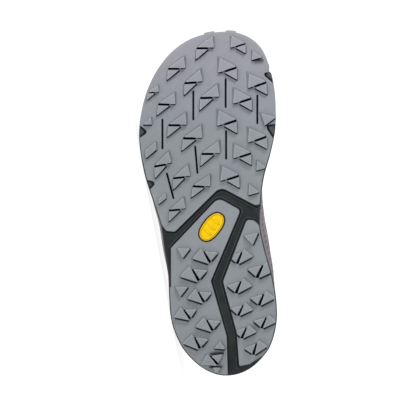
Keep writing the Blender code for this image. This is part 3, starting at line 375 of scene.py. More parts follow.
# Lugs by pod: along, across, shape, turn in degrees, size
FRONT_LUGS = (
    (0.953, -0.1350, OUTER_WEDGE, 0, 0.95), (0.893, -0.3450, OUTER_WEDGE, 0, 0.95),
    (0.853, -0.2220, OUTER_WEDGE, -4, 1.00), (0.823, -0.5170, OUTER_WEDGE, 0, 0.62),
    (0.789, -0.4170, OUTER_WEDGE, 2, 0.95), (0.809, -0.1030, OUTER_WEDGE, -2, 1.04),
    (0.729, -0.3380, OUTER_WEDGE, 1, 1.00), (0.691, -0.2270, OUTER_WEDGE, 1, 1.05),
    (0.646, -0.0957, OUTER_WEDGE, 0, 1.02), (0.614, -0.4526, OUTER_WEDGE, -10, 0.98),
    (0.578, -0.3182, OUTER_WEDGE, -6, 0.95), (0.551, -0.1697, OUTER_WEDGE, 3, 0.96),
    (0.484, -0.3717, OUTER_WEDGE, -5, 0.92), (0.729, -0.5640, OUTER_SPLINTER, 0, 0.95),
    (0.653, -0.5338, SLANT_BAR, 0, 1.00), (0.513, -0.4814, SLANT_BAR, 0, 0.68),
    (0.959, 0.1020, INNER_WEDGE, 0, 0.80), (0.888, 0.0240, INNER_WEDGE, 0, 1.00),
    (0.844, 0.2420, INNER_WEDGE, -2, 1.00), (0.798, 0.1330, INNER_WEDGE, 0, 1.00),
    (0.734, 0.0200, INNER_WEDGE, 0, 1.05), (0.686, 0.2421, INNER_WEDGE, -2, 1.00),
    (0.639, 0.1332, INNER_WEDGE, 0, 0.96), (0.574, 0.0435, INNER_WEDGE, 0, 1.00),
    (0.921, 0.2380, INNER_SPLINTER, 0, 1.00), (0.738, 0.3340, INNER_SPLINTER, -22, 1.30),
    (0.600, 0.2761, INNER_SPLINTER, 0, 1.00), (0.529, 0.2282, INNER_SPLINTER, 0, 1.10),
)
OUTER_HEEL_LUGS = (
    (0.345, -0.1458, OUTER_HEEL_PAIR, 0, 1.00), (0.293, -0.2532, OUTER_HEEL_PAIR, 0, 1.05),
    (0.229, -0.2080, OUTER_HEEL_PAIR, 0, 0.95), (0.179, -0.3395, OUTER_HEEL_PAIR, -6, 0.90),
    (0.147, -0.1284, OUTER_HEEL_PAIR, 0, 0.97), (0.096, -0.2442, OUTER_HEEL_PAIR, 4, 0.97),
    (0.046, -0.0877, LAST_PAIR, -12, 0.90), (0.358, -0.3525, HEEL_ARROW, 0, 1.0),
    (0.247, -0.3928, HEEL_ARROW, 0, 1.0), (0.089, -0.0369, HEEL_PEAK, 0, 1.0),
    (0.017, -0.0661, BARE_ARROW, 0, 0.62),
)
INNER_HEEL_LUGS = (
    (0.343, 0.1315, INNER_HEEL_PAIR, 0, 1.00), (0.304, 0.3184, INNER_HEEL_PAIR, 3, 1.12),
    (0.258, 0.1272, INNER_HEEL_PAIR, 0, 1.03), (0.222, 0.3416, INNER_HEEL_PAIR, 0, 1.00),
    (0.191, 0.1501, INNER_HEEL_PAIR, 3, 0.93), (0.155, 0.3662, INNER_HEEL_PAIR, 2, 0.93),
    (0.126, 0.1818, INNER_HEEL_PAIR, 2, 0.93), (0.079, 0.2823, INNER_HEEL_PAIR, -6, 0.95),
    (0.398, 0.2394, HEEL_ARROW, -14, 1.12),
)

# Long grooves in the front pod: along and across of each end
SIPES = (
    (0.826, -0.2250, 0.743, -0.2250), (0.862, 0.0120, 0.779, 0.0120),
    (0.814, 0.2440, 0.732, 0.2440), (0.744, -0.4510, 0.659, -0.4528),
    (0.666, -0.2126, 0.588, -0.1995), (0.710, 0.0150, 0.629, 0.0152),
    (0.588, -0.4318, 0.515, -0.3951),
)

# Stretches of the edge that the toe's rubber follows, between the notches: side, from, to.
# The longest one runs round the toe and ends at these places on the outer and inner side.
RANDS = ((-1, 0.600, 0.674), (1, 0.600, 0.672), (1, 0.742, 0.836))
RAND_BACK = {-1: 0.738, 1: 0.884}

# Ribs on the toe's rubber: across of both edges
TOE_RIBS = ((-0.145, -0.070), (0.015, 0.088))

# Moulded lines in the channel, lighter in tone as a painted highlight, then black lines of painted
# shade at the foot of the pods: pod, distance from it, first and last point of its outline
LIGHT_LINE = 0.00022
SHADE_LINE = 0.00055
LIGHT_LINES = (
    (FRONT_POD, 0.0019, 3, 26), (OUTER_HEEL_POD, 0.0019, 3, 22), (OUTER_HEEL_POD, 0.0019, 22, 35),
    (INNER_HEEL_POD, 0.0018, 9, 40),
)
SHADE_LINES = (
    (FRONT_POD, 0.0007, 3, 26), (OUTER_HEEL_POD, 0.0007, 3, 35), (INNER_HEEL_POD, 0.0007, 9, 40),
)

# Toothed edges of small lugs: along, across, turn in degrees, teeth, length of a tooth
TEETH = (
    (0.0657, -0.0650, -3, 18, 0.0017), (0.0262, -0.0760, -3, 18, 0.0015),
    (0.9160, 0.2570, -8, 13, 0.0009),
)


def smooth(low, high, value):
    """Share from 0 to 1 that eases in and out between two limits."""
    share = min(max((value - low) / (high - low), 0.0), 1.0)
    return share * share * (3.0 - 2.0 * share)


def mix(first, second, share):
    return first + (second - first) * share


def arc_place(along):
    """Spreads the ends of the sole, where its edge turns quickly."""
    return math.acos(1.0 - 2.0 * min(max(along, 0.0), 1.0))


def read(rows, place, column, spread=None):
    """One column of a table at a place, on a smooth curve through the rows."""
    rows = sorted(rows)
    places = [spread(row[0]) if spread else row[0] for row in rows]
    values = [row[column] for row in rows]
    place = spread(place) if spread else place
    if place <= places[0]:
        return values[0]
    if place >= places[-1]:
        return values[-1]
    last = len(rows) - 1
    k = max(index for index in range(last) if places[index] <= place)
    step = places[k + 1] - places[k]

    def slope(index):
        before = max(index - 1, 0)
        after = min(index + 1, last)
        return (values[after] - values[before]) / (places[after] - places[before])

    share = (place - places[k]) / step
    square = share * share
    cube = square * share
    return (
        (2.0 * cube - 3.0 * square + 1.0) * values[k]
        + (cube - 2.0 * square + share) * step * slope(k)
        + (3.0 * square - 2.0 * cube) * values[k + 1]
        + (cube - square) * step * slope(k + 1)
    )


def local_width(along):
    return mix(HEEL_WIDTH, BALL_WIDTH, smooth(0.2, 0.7, along))


def edge_across(along, side):
    """Y of the sole's edge: side is -1 for the outer side and 1 for the inner side."""
    column = 1 if side < 0 else 2
    return read(OUTLINE, along, column, arc_place) * local_width(along)


def rocker(along):
    """How far the sole's underside lifts off the ground at the toe and the heel."""
    toe = max(along - 0.64, 0.0) / 0.36
    heel = max(0.14 - along, 0.0) / 0.14
    return TOE_SPRING * toe ** 1.9 + HEEL_BEVEL * heel ** 1.6


def underside(along):
    return rocker(along) + LUG_HEIGHT + RUBBER + GAP


def bed(along):
    """Height of the midsole's bed, on which upper and insole stand."""
    toe = max(along - 0.64, 0.0) / 0.36
    return mix(HEEL_BED, BALL_BED, smooth(0.25, 0.65, along)) + 0.95 * TOE_SPRING * toe ** 1.9


def lip_top(along, side):
    return bed(along) + read(LIP_HEIGHT, along, 1 if side < 0 else 2) * HEEL_BED


class RimPlace:
    """A place on the sole's edge with its outward direction."""

    def __init__(self, along, side):
        self.along = along
        self.side = side
        self.point = Vector((along * SOLE_LENGTH, edge_across(along, side)))
        self.out = Vector((0.0, 0.0))
        self.walk = 0.0

    def at(self, outwards, height):
        flat = self.point + self.out * outwards
        return Vector((flat.x, flat.y, height))


def rim_places():
    """Places round the edge: heel, outer side forwards, toe, inner side backwards."""
    fine = 900
    walk = [0.0]
    alongs = [0.5 - 0.5 * math.cos(math.pi * k / fine) for k in range(fine + 1)]
    halves = [0.5 * (edge_across(along, 1) - edge_across(along, -1)) for along in alongs]
    for k in range(fine):
        run = (alongs[k + 1] - alongs[k]) * SOLE_LENGTH
        walk.append(walk[-1] + math.hypot(run, halves[k + 1] - halves[k]))
    stations = []
    index = 0
    for k in range(SIDE_STATIONS + 1):
        goal = walk[-1] * k / SIDE_STATIONS
        while index < fine and walk[index] < goal:
            index += 1
        stations.append(alongs[index])
    stations[0] = 0.0
    stations[-1] = 1.0
    places = [RimPlace(along, -1) for along in stations]
    places += [RimPlace(along, 1) for along in reversed(stations[1:-1])]
    count = len(places)
    for k, place in enumerate(places):
        tangent = places[(k + 1) % count].point - places[k - 1].point
        place.out = Vector((tangent.y, -tangent.x)).normalized()
        if k:
            place.walk = places[k - 1].walk + (place.point - places[k - 1].point).length
    return places


RIM = rim_places()
TOE_INDEX = SIDE_STATIONS
LIP_INSET = 0.86 * SIDE_STEP


def toe_inset(along):
    """Room that the midsole leaves at the toe for the rubber that wraps it."""
    return (TOE_WRAP + CLEARANCE) * smooth(TOE_WRAP_START - 0.035, TOE_WRAP_START - 0.012, along)


# The upper's surface

def crest_point(along):
    across = read(CREST, along, 1) * BALL_WIDTH
    return Vector((along * SOLE_LENGTH, across, read(CREST, along, 2) * INSTEP_HEIGHT))


def throat_half(along):
    """Half the throat's width, rounded at its front end."""
    half = read(THROAT, along, 1) * BALL_WIDTH
    end = min(max((along - 0.675) / (THROAT_FRONT - 0.675), 0.0), 1.0)
    return half * math.sqrt(max(1.0 - end * end, 0.0))


def rib_top(place):
    """Where a rib of the upper ends, and the direction in which it arrives there."""
    along = place.along
    if along >= THROAT_FRONT:
        share = (along - THROAT_FRONT) / (1.0 - THROAT_FRONT)
        top = crest_point(mix(THROAT_FRONT, CREST_FRONT, share))
        inwards = top.xy - place.point
        if inwards.length > 1e-6:
            inwards.normalize()
        rise = 0.35 * place.out.x ** 2
        return top, Vector((inwards.x, inwards.y, rise)).normalized()
    if along >= THROAT_BACK:
        top = crest_point(along)
        half = throat_half(along)
        top.y += place.side * half
        top.z -= THROAT_DROP * half
        slope = 2.0 * THROAT_DROP * min(half / (0.09 * BALL_WIDTH), 1.0)
        throat = Vector((0.0, -place.side, slope)).normalized()
        collar = Vector((0.0, -0.30 * place.side, 1.0)).normalized()
        share = smooth(THROAT_BACK, THROAT_BACK + 0.10, along)
        return top, collar.lerp(throat, share).normalized()
    column = 2 if place.side < 0 else 3
    x = read(COLLAR, along, 1, arc_place) * SOLE_LENGTH
    y = read(COLLAR, along, column, arc_place) * BALL_WIDTH
    z = read(COLLAR, along, 4, arc_place) * HEEL_TAB_HEIGHT
    arrival = Vector((place.out.x * 0.25, place.out.y * -0.30 * (1.0 - place.out.x ** 2), 1.0))
    return Vector((x, y, z)), arrival.normalized()


def hermite(start, leave, end, arrive, share):
    square = share * share
    cube = square * share
    return (
        start * (2.0 * cube - 3.0 * square + 1.0)
        + leave * (cube - 2.0 * square + share)
        + end * (3.0 * square - 2.0 * cube)
        + arrive * (cube - square)
    )


def rib_point(place, level):
    """A point on the upper's side: level -1 is the feather edge, 0 the top of the sole's
    lip, 1 the widest place and 2 the crest, throat or collar."""
    lip = LIP_INSET + CUP_LIP + CLEARANCE + toe_inset(place.along)
    lip_z = lip_top(place.along, place.side)
    foot = place.at(-lip - CUP_SLOPE, bed(place.along) + GAP)
    feather = place.at(-lip, lip_z)
    if level <= 0.0:
        return foot.lerp(feather, level + 1.0)
    top, arrival = rib_top(place)
    swell = read(SWELL, place.along, 1 if place.side < 0 else 2) * BALL_WIDTH
    swell -= 0.4 * toe_inset(place.along)
    rise = 0.34 * (top.z - lip_z)
    widest = place.at(swell, lip_z + rise)
    if level <= 1.0:
        span = (widest - feather).length
        leave = (feather - foot).normalized() * span
        return hermite(feather, leave, widest, Vector((0.0, 0.0, span)), level)
    span = (top - widest).length
    return hermite(widest, Vector((0.0, 0.0, span * 0.9)), top, arrival * span, level - 1.0)


def rand_level(place):
    """Top of the overlay band round the foot: high at the toe and heel, low at the waist."""
    toe = smooth(0.80, 0.97, place.along)
    heel = 1.0 - smooth(0.06, 0.26, place.along)
    return 0.62 + 0.62 * toe + 0.85 * heel


def stay_level(place):
    """Lower edge of the eyestay along the throat, which curves up to it at both ends."""
    level = 1.70 - 0.10 * smooth(0.45, 0.65, place.along)
    front = smooth(THROAT_FRONT - 0.02, THROAT_FRONT + 0.055, place.along)
    back = 1.0 - smooth(THROAT_BACK - 0.075, THROAT_BACK + 0.020, place.along)
    return mix(level, STAY_END, max(front, back))


def stay_share(place):
    """1 beside the throat, 0 elsewhere."""
    share = smooth(THROAT_BACK - 0.09, THROAT_BACK, place.along)
    return share * (1.0 - smooth(THROAT_FRONT, THROAT_FRONT + 0.08, place.along))


def wall_at(place, level):
    """Thickness of the wall: even below, padded round the collar."""
    collar = 1.0 - smooth(THROAT_BACK - 0.11, THROAT_BACK - 0.01, place.along)
    low = mix(rand_level(place), stay_level(place), 0.3)
    return WALL + COLLAR_PAD * collar * smooth(low, 1.86, level)


def overlay_at(place, level):
    """How far bands and eyestay stand up from the mesh, with softly rounded edges."""
    if level < 0.0:
        return 0.0
    rand = rand_level(place)
    stay = stay_level(place)
    band = 1.0 - smooth(rand - BAND_EDGE, rand + BAND_EDGE, level)
    band *= smooth(0.0, 0.25 * rand, level)
    return OVERLAY * (band + stay_share(place) * smooth(stay - BAND_EDGE, stay + BAND_EDGE, level))


def relief_at(place, level, point):
    """Creases of the vamp, a soft collar roll and the seam under it."""
    relief = 0.0
    if level > 0.9 and place.along > 0.62:
        wrap = smooth(0.95, 1.35, level)
        for along, depth, half in CREASES:
            bow = 0.10 * (point.y - crest_point(min(along, CREST_FRONT)).y) ** 2 / BALL_WIDTH * 10.0
            distance = (point.x + bow - along * SOLE_LENGTH) / half
            relief += depth * wrap * math.exp(-distance * distance)
    collar = 1.0 - smooth(THROAT_BACK - 0.10, THROAT_BACK - 0.01, place.along)
    if collar > 0.0 and level > 1.3:
        roll = smooth(1.62, 1.80, level)
        seam = math.exp(-((level - 1.60) / 0.035) ** 2)
        relief += collar * (0.0013 * roll - 0.0009 * seam)
    return relief


def fine_levels(place):
    """Rows of the wall from the feather edge to the top, closest at the overlays' edges."""
    rand = rand_level(place)
    stay = stay_level(place)
    knots = (-1.0, 0.0, rand - BAND_EDGE, rand + BAND_EDGE, stay - BAND_EDGE, stay + BAND_EDGE, 2.0)
    levels = []
    for low, high, count in zip(knots, knots[1:], (3, 12, 3, 18, 3, 8)):
        levels += [mix(low, high, k / count) for k in range(count)]
    return levels + [2.0]


LEVELS = [fine_levels(place) for place in RIM]


# Mesh helpers

def shoe_to_floor():
    """Turns the shoe's axes onto its outer side on the floor."""
    toe = Vector((1.0, 0.0, 0.0))
    x_axis = -(toe - UP_IN_SHOE * toe.dot(UP_IN_SHOE)).normalized()
    y_axis = UP_IN_SHOE.cross(x_axis)
    turn = Matrix((x_axis, y_axis, UP_IN_SHOE)).to_4x4()
    return Matrix.Translation(SHOE_ORIGIN) @ turn


LAY = shoe_to_floor()


def piece_from(name, solid, materials):
    """Lays a bmesh in the shoe's axes on the floor and makes it a piece."""
    solid.transform(LAY)
    mesh = bpy.data.meshes.new(name)
    solid.to_mesh(mesh)
    solid.free()
    piece = bpy.data.objects.new(name, mesh)
    bpy.context.scene.collection.objects.link(piece)
    for material in materials:
        mesh.materials.append(material)
    return piece


def shade(piece, angle):
    piece.data.shade_smooth()
    piece.data.set_sharp_from_angle(angle=math.radians(angle))


def baked(piece):
    """Applies every modifier of a piece."""
    bpy.context.view_layer.update()
    evaluated = piece.evaluated_get(bpy.context.evaluated_depsgraph_get())
    mesh = bpy.data.meshes.new_from_object(evaluated)
    piece.modifiers.clear()
    old = piece.data
    piece.data = mesh
    bpy.data.meshes.remove(old)


def ring_band(solid, rings, index=0):
    """Walls between rings of corners, with one of the piece's materials."""
    for low, high in zip(rings, rings[1:]):
        count = len(low)
        for k in range(count):
            after = (k + 1) % count
            face = solid.faces.new((low[k], low[after], high[after], high[k]))
            face.material_index = index


def closed_tube(solid, rings, index=0):
    """Walls between rings of corners, closed by a face at both ends."""
    ring_band(solid, rings, index)
    solid.faces.new(rings[0])
    solid.faces.new(rings[-1])


def ladder_cap(solid, ring):
    """Closes a ring round the sole with strips from side to side."""
    count = len(ring)
    for k in range(count // 2):
        corners = [ring[k], ring[k + 1], ring[count - k - 1], ring[(count - k) % count]]
        solid.faces.new(list(dict.fromkeys(corners)))


def outward(solid):
    bmesh.ops.recalc_face_normals(solid, faces=solid.faces[:])
    if solid.calc_volume(signed=True) < 0.0:
        bmesh.ops.reverse_faces(solid, faces=solid.faces[:])


# Shader helpers

class Value:
    """A number that varies over a surface. Its operators add Math nodes."""

    def __init__(self, finish, socket):
        self.finish = finish
        self.socket = socket

    def math(self, operation, *values):
        settings = {"operation": operation}
        node = self.finish.add("ShaderNodeMath", settings, dict(enumerate(values)))
        return Value(self.finish, node.outputs[0])

    def __add__(self, other):
        return self.math("ADD", self, other)

    def __sub__(self, other):
        return self.math("SUBTRACT", self, other)

    def __rsub__(self, other):
        return self.math("SUBTRACT", other, self)

    def __mul__(self, other):
        return self.math("MULTIPLY", self, other)

    def above(self, limit):
        return self.math("GREATER_THAN", self, limit)

    def wave(self):
        return self.math("SINE", self)

    def size(self):
        return self.math("ABSOLUTE", self)


class Finish:
    """A material while it is being put together."""

    def __init__(self, name, roughness, specular=0.5, sheen=0.0):
        self.material = bpy.data.materials.new(name)
        self.material.use_nodes = True
        self.tree = self.material.node_tree
        self.shader = self.tree.nodes["Principled BSDF"]
        self.shader.inputs["Roughness"].default_value = roughness
        self.shader.inputs["Specular IOR Level"].default_value = specular
        self.shader.inputs["Sheen Weight"].default_value = sheen
        place = self.add("ShaderNodeTexCoord").outputs["Object"]
        back = LAY.inverted()
        settings = {"vector_type": "POINT"}
        values = {"Vector": place, "Location": back.to_translation(),
                  "Rotation": back.to_euler("XYZ")}
        self.place = self.add("ShaderNodeMapping", settings, values).outputs[0]
        parts = self.add("ShaderNodeSeparateXYZ", {}, {0: self.place}).outputs
        self.x, self.y, self.z = (Value(self, socket) for socket in parts)

    def add(self, kind, settings=None, values=None):
        """Adds a node, with its settings first and then its sockets' values or links."""
        node = self.tree.nodes.new(kind)
        for name, setting in (settings or {}).items():
            setattr(node, name, setting)
        for name, value in (values or {}).items():
            value = value.socket if isinstance(value, Value) else value
            socket = node.inputs[name]
            if isinstance(value, bpy.types.NodeSocket):
                self.tree.links.new(value, socket)
            elif socket.type == "RGBA":
                socket.default_value = (*value, 1.0)
            else:
                socket.default_value = value
        return node

    def noise(self, scale, detail=2.0):
        values = {"Vector": self.place, "Scale": scale, "Detail": detail}
        return Value(self, self.add("ShaderNodeTexNoise", {}, values).outputs[0])

    def cells(self, scale):
        node = self.add("ShaderNodeTexVoronoi", {}, {"Vector": self.place, "Scale": scale})
        return Value(self, node.outputs["Distance"])

    def ease(self, value, low, high):
        """Share from 0 to 1 that eases in between two limits of a value."""
        node = self.add("ShaderNodeMapRange", {"interpolation_type": "SMOOTHSTEP"},
                        {"Value": value, "From Min": low, "From Max": high})
        return Value(self, node.outputs[0])

    def blend(self, share, first, second):
        """A colour between two others. Its sockets 0, 6 and 7 take the share and the colours."""
        values = {0: share, 6: first, 7: second}
        return self.add("ShaderNodeMix", {"data_type": "RGBA"}, values).outputs[2]

    def paint(self, colour):
        self.tree.links.new(colour, self.shader.inputs["Base Color"])

    def rough(self, value):
        self.tree.links.new(value.socket, self.shader.inputs["Roughness"])

    def bump(self, height, depth):
        """Raises the surface by a value times a depth in metres, for the light only."""
        node = self.add("ShaderNodeBump", {}, {"Height": height, "Distance": depth, "Strength": 1.0})
        self.tree.links.new(node.outputs[0], self.shader.inputs["Normal"])

    def surface_map(self):
        """The piece's own map: along and up its surface, in metres."""
        node = self.add("ShaderNodeUVMap", {"uv_map": "surface"})
        parts = self.add("ShaderNodeSeparateXYZ", {}, {0: node.outputs[0]}).outputs
        return Value(self, parts[0]), Value(self, parts[1])


# Materials

def toned(colour, tone):
    return tuple(channel * tone for channel in colour)


# A tone below 1 darkens the rubber as painted shade, a tone above 1 lightens it as painted highlight.
def rubber_finish(name, tone):
    """Matt grey outsole rubber: cooler towards the toe as a painted reflection, with fine grain and
    faint smudges.
    """
    finish = Finish(name, 0.62, specular=0.35)
    # Painted reflection: lavender grey towards the toe, where the sole turns up to the light.
    toe = finish.ease(finish.x, 0.18, 0.280)
    colour = finish.blend(toe, toned((0.260, 0.282, 0.302), tone), toned((0.278, 0.276, 0.318), tone))
    smudge = finish.ease(finish.noise(42.0, 4.0), 0.38, 0.68)
    colour = finish.blend(smudge * 0.16, colour, toned((0.215, 0.222, 0.250), tone))
    worn = finish.ease(finish.noise(160.0, 3.0), 0.52, 0.72)
    colour = finish.blend(worn * 0.10, colour, toned((0.42, 0.43, 0.46), tone))
    finish.paint(colour)
    finish.rough(finish.noise(90.0, 3.0) * 0.16 + 0.54)
    finish.bump(finish.noise(1500.0, 2.0) + finish.noise(380.0, 2.0) * 0.6, 0.00010)
    return finish.material


def mottled(name, roughness, scale, first, second, specular=0.5, sheen=0.0):
    """A plain finish whose colour wanders between two tones."""
    finish = Finish(name, roughness, specular, sheen)
    finish.paint(finish.blend(finish.noise(scale), first, second))
    return finish.material


def foam_finish():
    """Dark moulded foam with a fine pebbled skin and moulded lines along its side."""
    finish = Finish("dark_foam", 0.66, specular=0.28)
    share = finish.ease(finish.noise(60.0, 3.0), 0.35, 0.70)
    colour = finish.blend(share, (0.0120, 0.0155, 0.0165), (0.0215, 0.0265, 0.0280))
    finish.paint(colour)
    finish.rough(finish.noise(140.0, 3.0) * 0.18 + 0.55)
    lines = finish.ease((finish.z * 3100.0 + finish.x * 60.0).wave(), 0.1, 0.9)
    side = finish.ease(finish.z, 0.0150, 0.0160) * (1.0 - finish.ease(finish.z, 0.0225, 0.0235))
    finish.bump(finish.cells(1250.0) + finish.noise(500.0) * 0.4 - lines * side * 2.6, 0.00012)
    return finish.material


def badge_finish():
    """Smooth yellow rubber."""
    finish = Finish("yellow_inset", 0.50, specular=0.12)
    finish.paint(finish.blend(finish.noise(260.0), (0.94, 0.63, 0.0), (0.88, 0.56, 0.0)))
    finish.bump(finish.noise(900.0), 0.00005)
    return finish.material


def mesh_finish():
    """Dusty mauve engineered mesh: staggered open cells between raised threads."""
    finish = Finish("mauve_mesh", 0.88, specular=0.25, sheen=0.35)
    along, up = finish.surface_map()
    sides = (along * 2600.0).wave() * (up * 2050.0).wave()
    girth = (finish.y + 0.004).size() - finish.z
    over = (finish.x * 2600.0).wave() * (girth * 2050.0).wave()
    vamp = finish.ease(finish.x, 0.176, 0.192)
    holes = finish.ease(over * vamp + sides * (1.0 - vamp), 0.20, 0.75)
    fine = (along * 9000.0 + up * 5200.0).wave() * (along * 9000.0 - up * 5200.0).wave()
    base = finish.blend(finish.noise(55.0, 3.0), (0.225, 0.130, 0.190), (0.275, 0.170, 0.235))
    colour = finish.blend(holes * 0.85, base, (0.055, 0.030, 0.048))
    finish.paint(colour)
    finish.bump(fine * 0.35 - holes, 0.00022)
    return finish.material


def film_finish():
    """Thin fused film round the foot: pale grey at the waist, plum grey at toe and heel."""
    finish = Finish("fused_film", 0.50, specular=0.45)
    along, up = finish.surface_map()
    waist = finish.ease(finish.x, 0.045, 0.075) * (1.0 - finish.ease(finish.x, 0.170, 0.205))
    ends = finish.blend(finish.noise(70.0, 3.0), (0.105, 0.085, 0.110), (0.135, 0.108, 0.140))
    pale = finish.blend(finish.noise(90.0, 3.0), (0.178, 0.172, 0.198), (0.225, 0.215, 0.245))
    colour = finish.blend(waist, ends, pale)
    slant = ((along + up * 0.45) * 1310.0).wave()
    band = finish.ease(up, 0.0150, 0.0158) * (1.0 - finish.ease(up, 0.0186, 0.0194))
    marks = finish.ease(slant, 0.30, 0.45) * band * waist * finish.ease(finish.y, -0.002, 0.004)
    colour = finish.blend(marks * 0.85, colour, (0.105, 0.050, 0.092))
    finish.paint(colour)
    finish.bump(finish.noise(1800.0, 2.0) + marks * 0.8, 0.00008)
    return finish.material


def stay_finish():
    """Eyestay: plum-grey microfibre with a fine nap."""
    finish = Finish("eyestay_plum", 0.70, specular=0.3, sheen=0.2)
    share = finish.noise(120.0, 4.0)
    finish.paint(finish.blend(share, (0.150, 0.095, 0.135), (0.190, 0.125, 0.172)))
    finish.bump(finish.noise(2600.0, 3.0), 0.00010)
    return finish.material


def lining_finish():
    """Dark brushed lining with a small knit."""
    finish = Finish("dark_lining", 0.95, specular=0.15, sheen=0.5)
    along, up = finish.surface_map()
    knit = (along * 5200.0).wave() * (up * 5200.0).wave()
    share = finish.ease(finish.noise(80.0, 3.0), 0.3, 0.7)
    colour = finish.blend(share, (0.052, 0.042, 0.052), (0.080, 0.064, 0.078))
    finish.paint(finish.blend(finish.ease(knit, 0.1, 0.8) * 0.5, colour, (0.028, 0.022, 0.028)))
    finish.bump(knit, 0.00012)
    return finish.material


def tongue_finish():
    """Padded mauve knit of the tongue."""
    finish = Finish("tongue_knit", 0.92, specular=0.2, sheen=0.4)
    along, up = finish.surface_map()
    knit = (along * 3000.0).wave() * (up * 3000.0).wave()
    base = finish.blend(finish.noise(60.0, 3.0), (0.185, 0.110, 0.160), (0.235, 0.145, 0.205))
    finish.paint(finish.blend(finish.ease(knit, 0.2, 0.9) * 0.55, base, (0.080, 0.045, 0.070)))
    finish.bump(knit, 0.00018)
    return finish.material


def lace_finish():
    """Braided pale grey lace with plum flecks."""
    finish = Finish("lace_braid", 0.85, specular=0.25, sheen=0.3)
    along, up = finish.surface_map()
    braid = (along * 3600.0 + up * 3600.0).wave() * (along * 3600.0 - up * 3600.0).wave()
    fleck = ((along * 2100.0).wave() * (up * 2856.0).wave()).above(0.62) * 0.55
    base = finish.blend(finish.ease(braid, -0.6, 0.6), (0.22, 0.205, 0.235), (0.36, 0.34, 0.375))
    finish.paint(finish.blend(fleck, base, (0.17, 0.085, 0.15)))
    finish.bump(braid, 0.00020)
    return finish.material


def footbed_finish():
    """Top cloth of the insole."""
    finish = Finish("footbed_cloth", 0.93, sheen=0.3)
    knit = (finish.x * 4200.0).wave() * (finish.y * 4200.0).wave()
    share = finish.ease(knit, -0.2, 0.8)
    finish.paint(finish.blend(share, (0.090, 0.075, 0.092), (0.050, 0.040, 0.052)))
    finish.bump(knit, 0.00012)
    return finish.material


# Rubber: plain, the lugs' sloping flanks with painted shade and their edges with painted
# highlight, painted shade under the heel lugs' rear flanks, in cuts and on the pods' sides
RUBBER_GREY = rubber_finish("grey_rubber", 1.0)
RUBBER_FLANK_SHADED = rubber_finish("grey_rubber_flank_shaded", 0.80)
RUBBER_EDGE_HIGHLIGHT = rubber_finish("grey_rubber_edge_highlight", 1.35)
FLANK_SHADE = mottled("flank_shade", 0.80, 240.0, (0.026, 0.029, 0.032), (0.048, 0.052, 0.056), 0.20)
SHADE_BLACK = mottled("painted_shade_black", 0.85, 300.0, (0.003, 0.0035, 0.004), (0.008, 0.009, 0.010), 0.15)
POD_WALL_SHADE = mottled("pod_wall_painted_shade", 0.70, 200.0, (0.010, 0.012, 0.014), (0.022, 0.026, 0.029), 0.25)

# Foam and its raised lines, lighter as a painted highlight, the inset with its dark edge of painted
# shade and the amber shade in its lines
FOAM_DARK = foam_finish()
FOAM_LINE = mottled("foam_line", 0.55, 120.0, (0.040, 0.047, 0.051), (0.070, 0.080, 0.086), 0.40)
BADGE_YELLOW = badge_finish()
BADGE_EDGE_SHADE = mottled("badge_edge_painted_shade", 0.50, 300.0, (0.030, 0.016, 0.006), (0.055, 0.028, 0.008))
BADGE_AMBER = mottled("badge_amber", 0.55, 300.0, (0.52, 0.24, 0.004), (0.62, 0.32, 0.006), 0.20)

# Fabrics
MESH_MAUVE = mesh_finish()
FILM = film_finish()
STAY_PLUM = stay_finish()
LINING = lining_finish()
TONGUE_KNIT = tongue_finish()
LACE_BRAID = lace_finish()
THREAD = mottled("mauve_thread", 0.75, 900.0, (0.30, 0.21, 0.28), (0.40, 0.30, 0.38), sheen=0.2)
FOOTBED = footbed_finish()


# Outsole

def spot(along, across):
    """A place in the sole's plan, across as a share of the local width."""
    return Vector((along * SOLE_LENGTH, across * local_width(along)))


def cut_solid(solid, start, end, width, low, high, taper=0.0):
    """A straight cut with round ends between two heights, bent with the sole. A taper of 0.3
    starts 0.3 narrower and ends 0.3 wider."""
    run = end - start
    length = run.length
    run.normalize()
    across = Vector((-run.y, run.x))
    half = 0.5 * width
    middle_steps = max(2, round(length / 0.003))
    stops = [half * (1.0 - math.cos(math.radians(angle))) for angle in (0, 30, 60, 90)]
    stops += [half + (length - width) * k / middle_steps for k in range(1, middle_steps)]
    stops += [length - stop for stop in reversed(stops[:4])]
    sections = []
    for stop in stops:
        nearest = min(stop, length - stop)
        reach = half if nearest >= half else math.sqrt(max(half * half - (half - nearest) ** 2, 0.0))
        reach = max(reach, 0.12 * half) * (1.0 + taper * (2.0 * stop / length - 1.0))
        section = []
        for side, height in ((-1, low), (1, low), (1, high), (-1, high)):
            flat = start + run * stop + across * (side * reach)
            section.append(solid.verts.new((flat.x, flat.y, height + rocker(flat.x / SOLE_LENGTH))))
        sections.append(section)
    closed_tube(solid, sections)


def lug_cuts(lugs, wanted):
    """The slots or the thin undercuts of a pod's lugs as one cutter."""
    solid = bmesh.new()
    for along, across, (_, cuts), turn, size in lugs:
        place = spot(along, across)
        spin = Matrix.Rotation(math.radians(turn), 2)
        for forwards, inwards, end_forwards, end_inwards, width in cuts:
            if width != wanted:
                continue
            start = place + spin @ Vector((forwards, inwards)) * size
            end = place + spin @ Vector((end_forwards, end_inwards)) * size
            if wanted == SLOT:
                taper = 0.3 if abs(forwards - end_forwards) > 0.006 else 0.0
                cut_solid(solid, start, end, width * size, -0.001, LUG_HEIGHT + 0.0013, taper)
            else:
                cut_solid(solid, start, end, width, 0.62 * LUG_HEIGHT, LUG_HEIGHT + 0.0007)
    return solid


def combine(piece, solid, operation, material, crossing=False):
    """An exact Boolean with a solid in the shoe's axes, whose walls keep their own material."""
    outward(solid)
    tool = piece_from("tool", solid, [material])
    step = piece.modifiers.new("step", "BOOLEAN")
    step.operation = operation
    step.solver = "EXACT"
    step.material_mode = "TRANSFER"
    step.use_self = crossing
    step.object = tool
    baked(piece)
    bpy.data.objects.remove(tool)


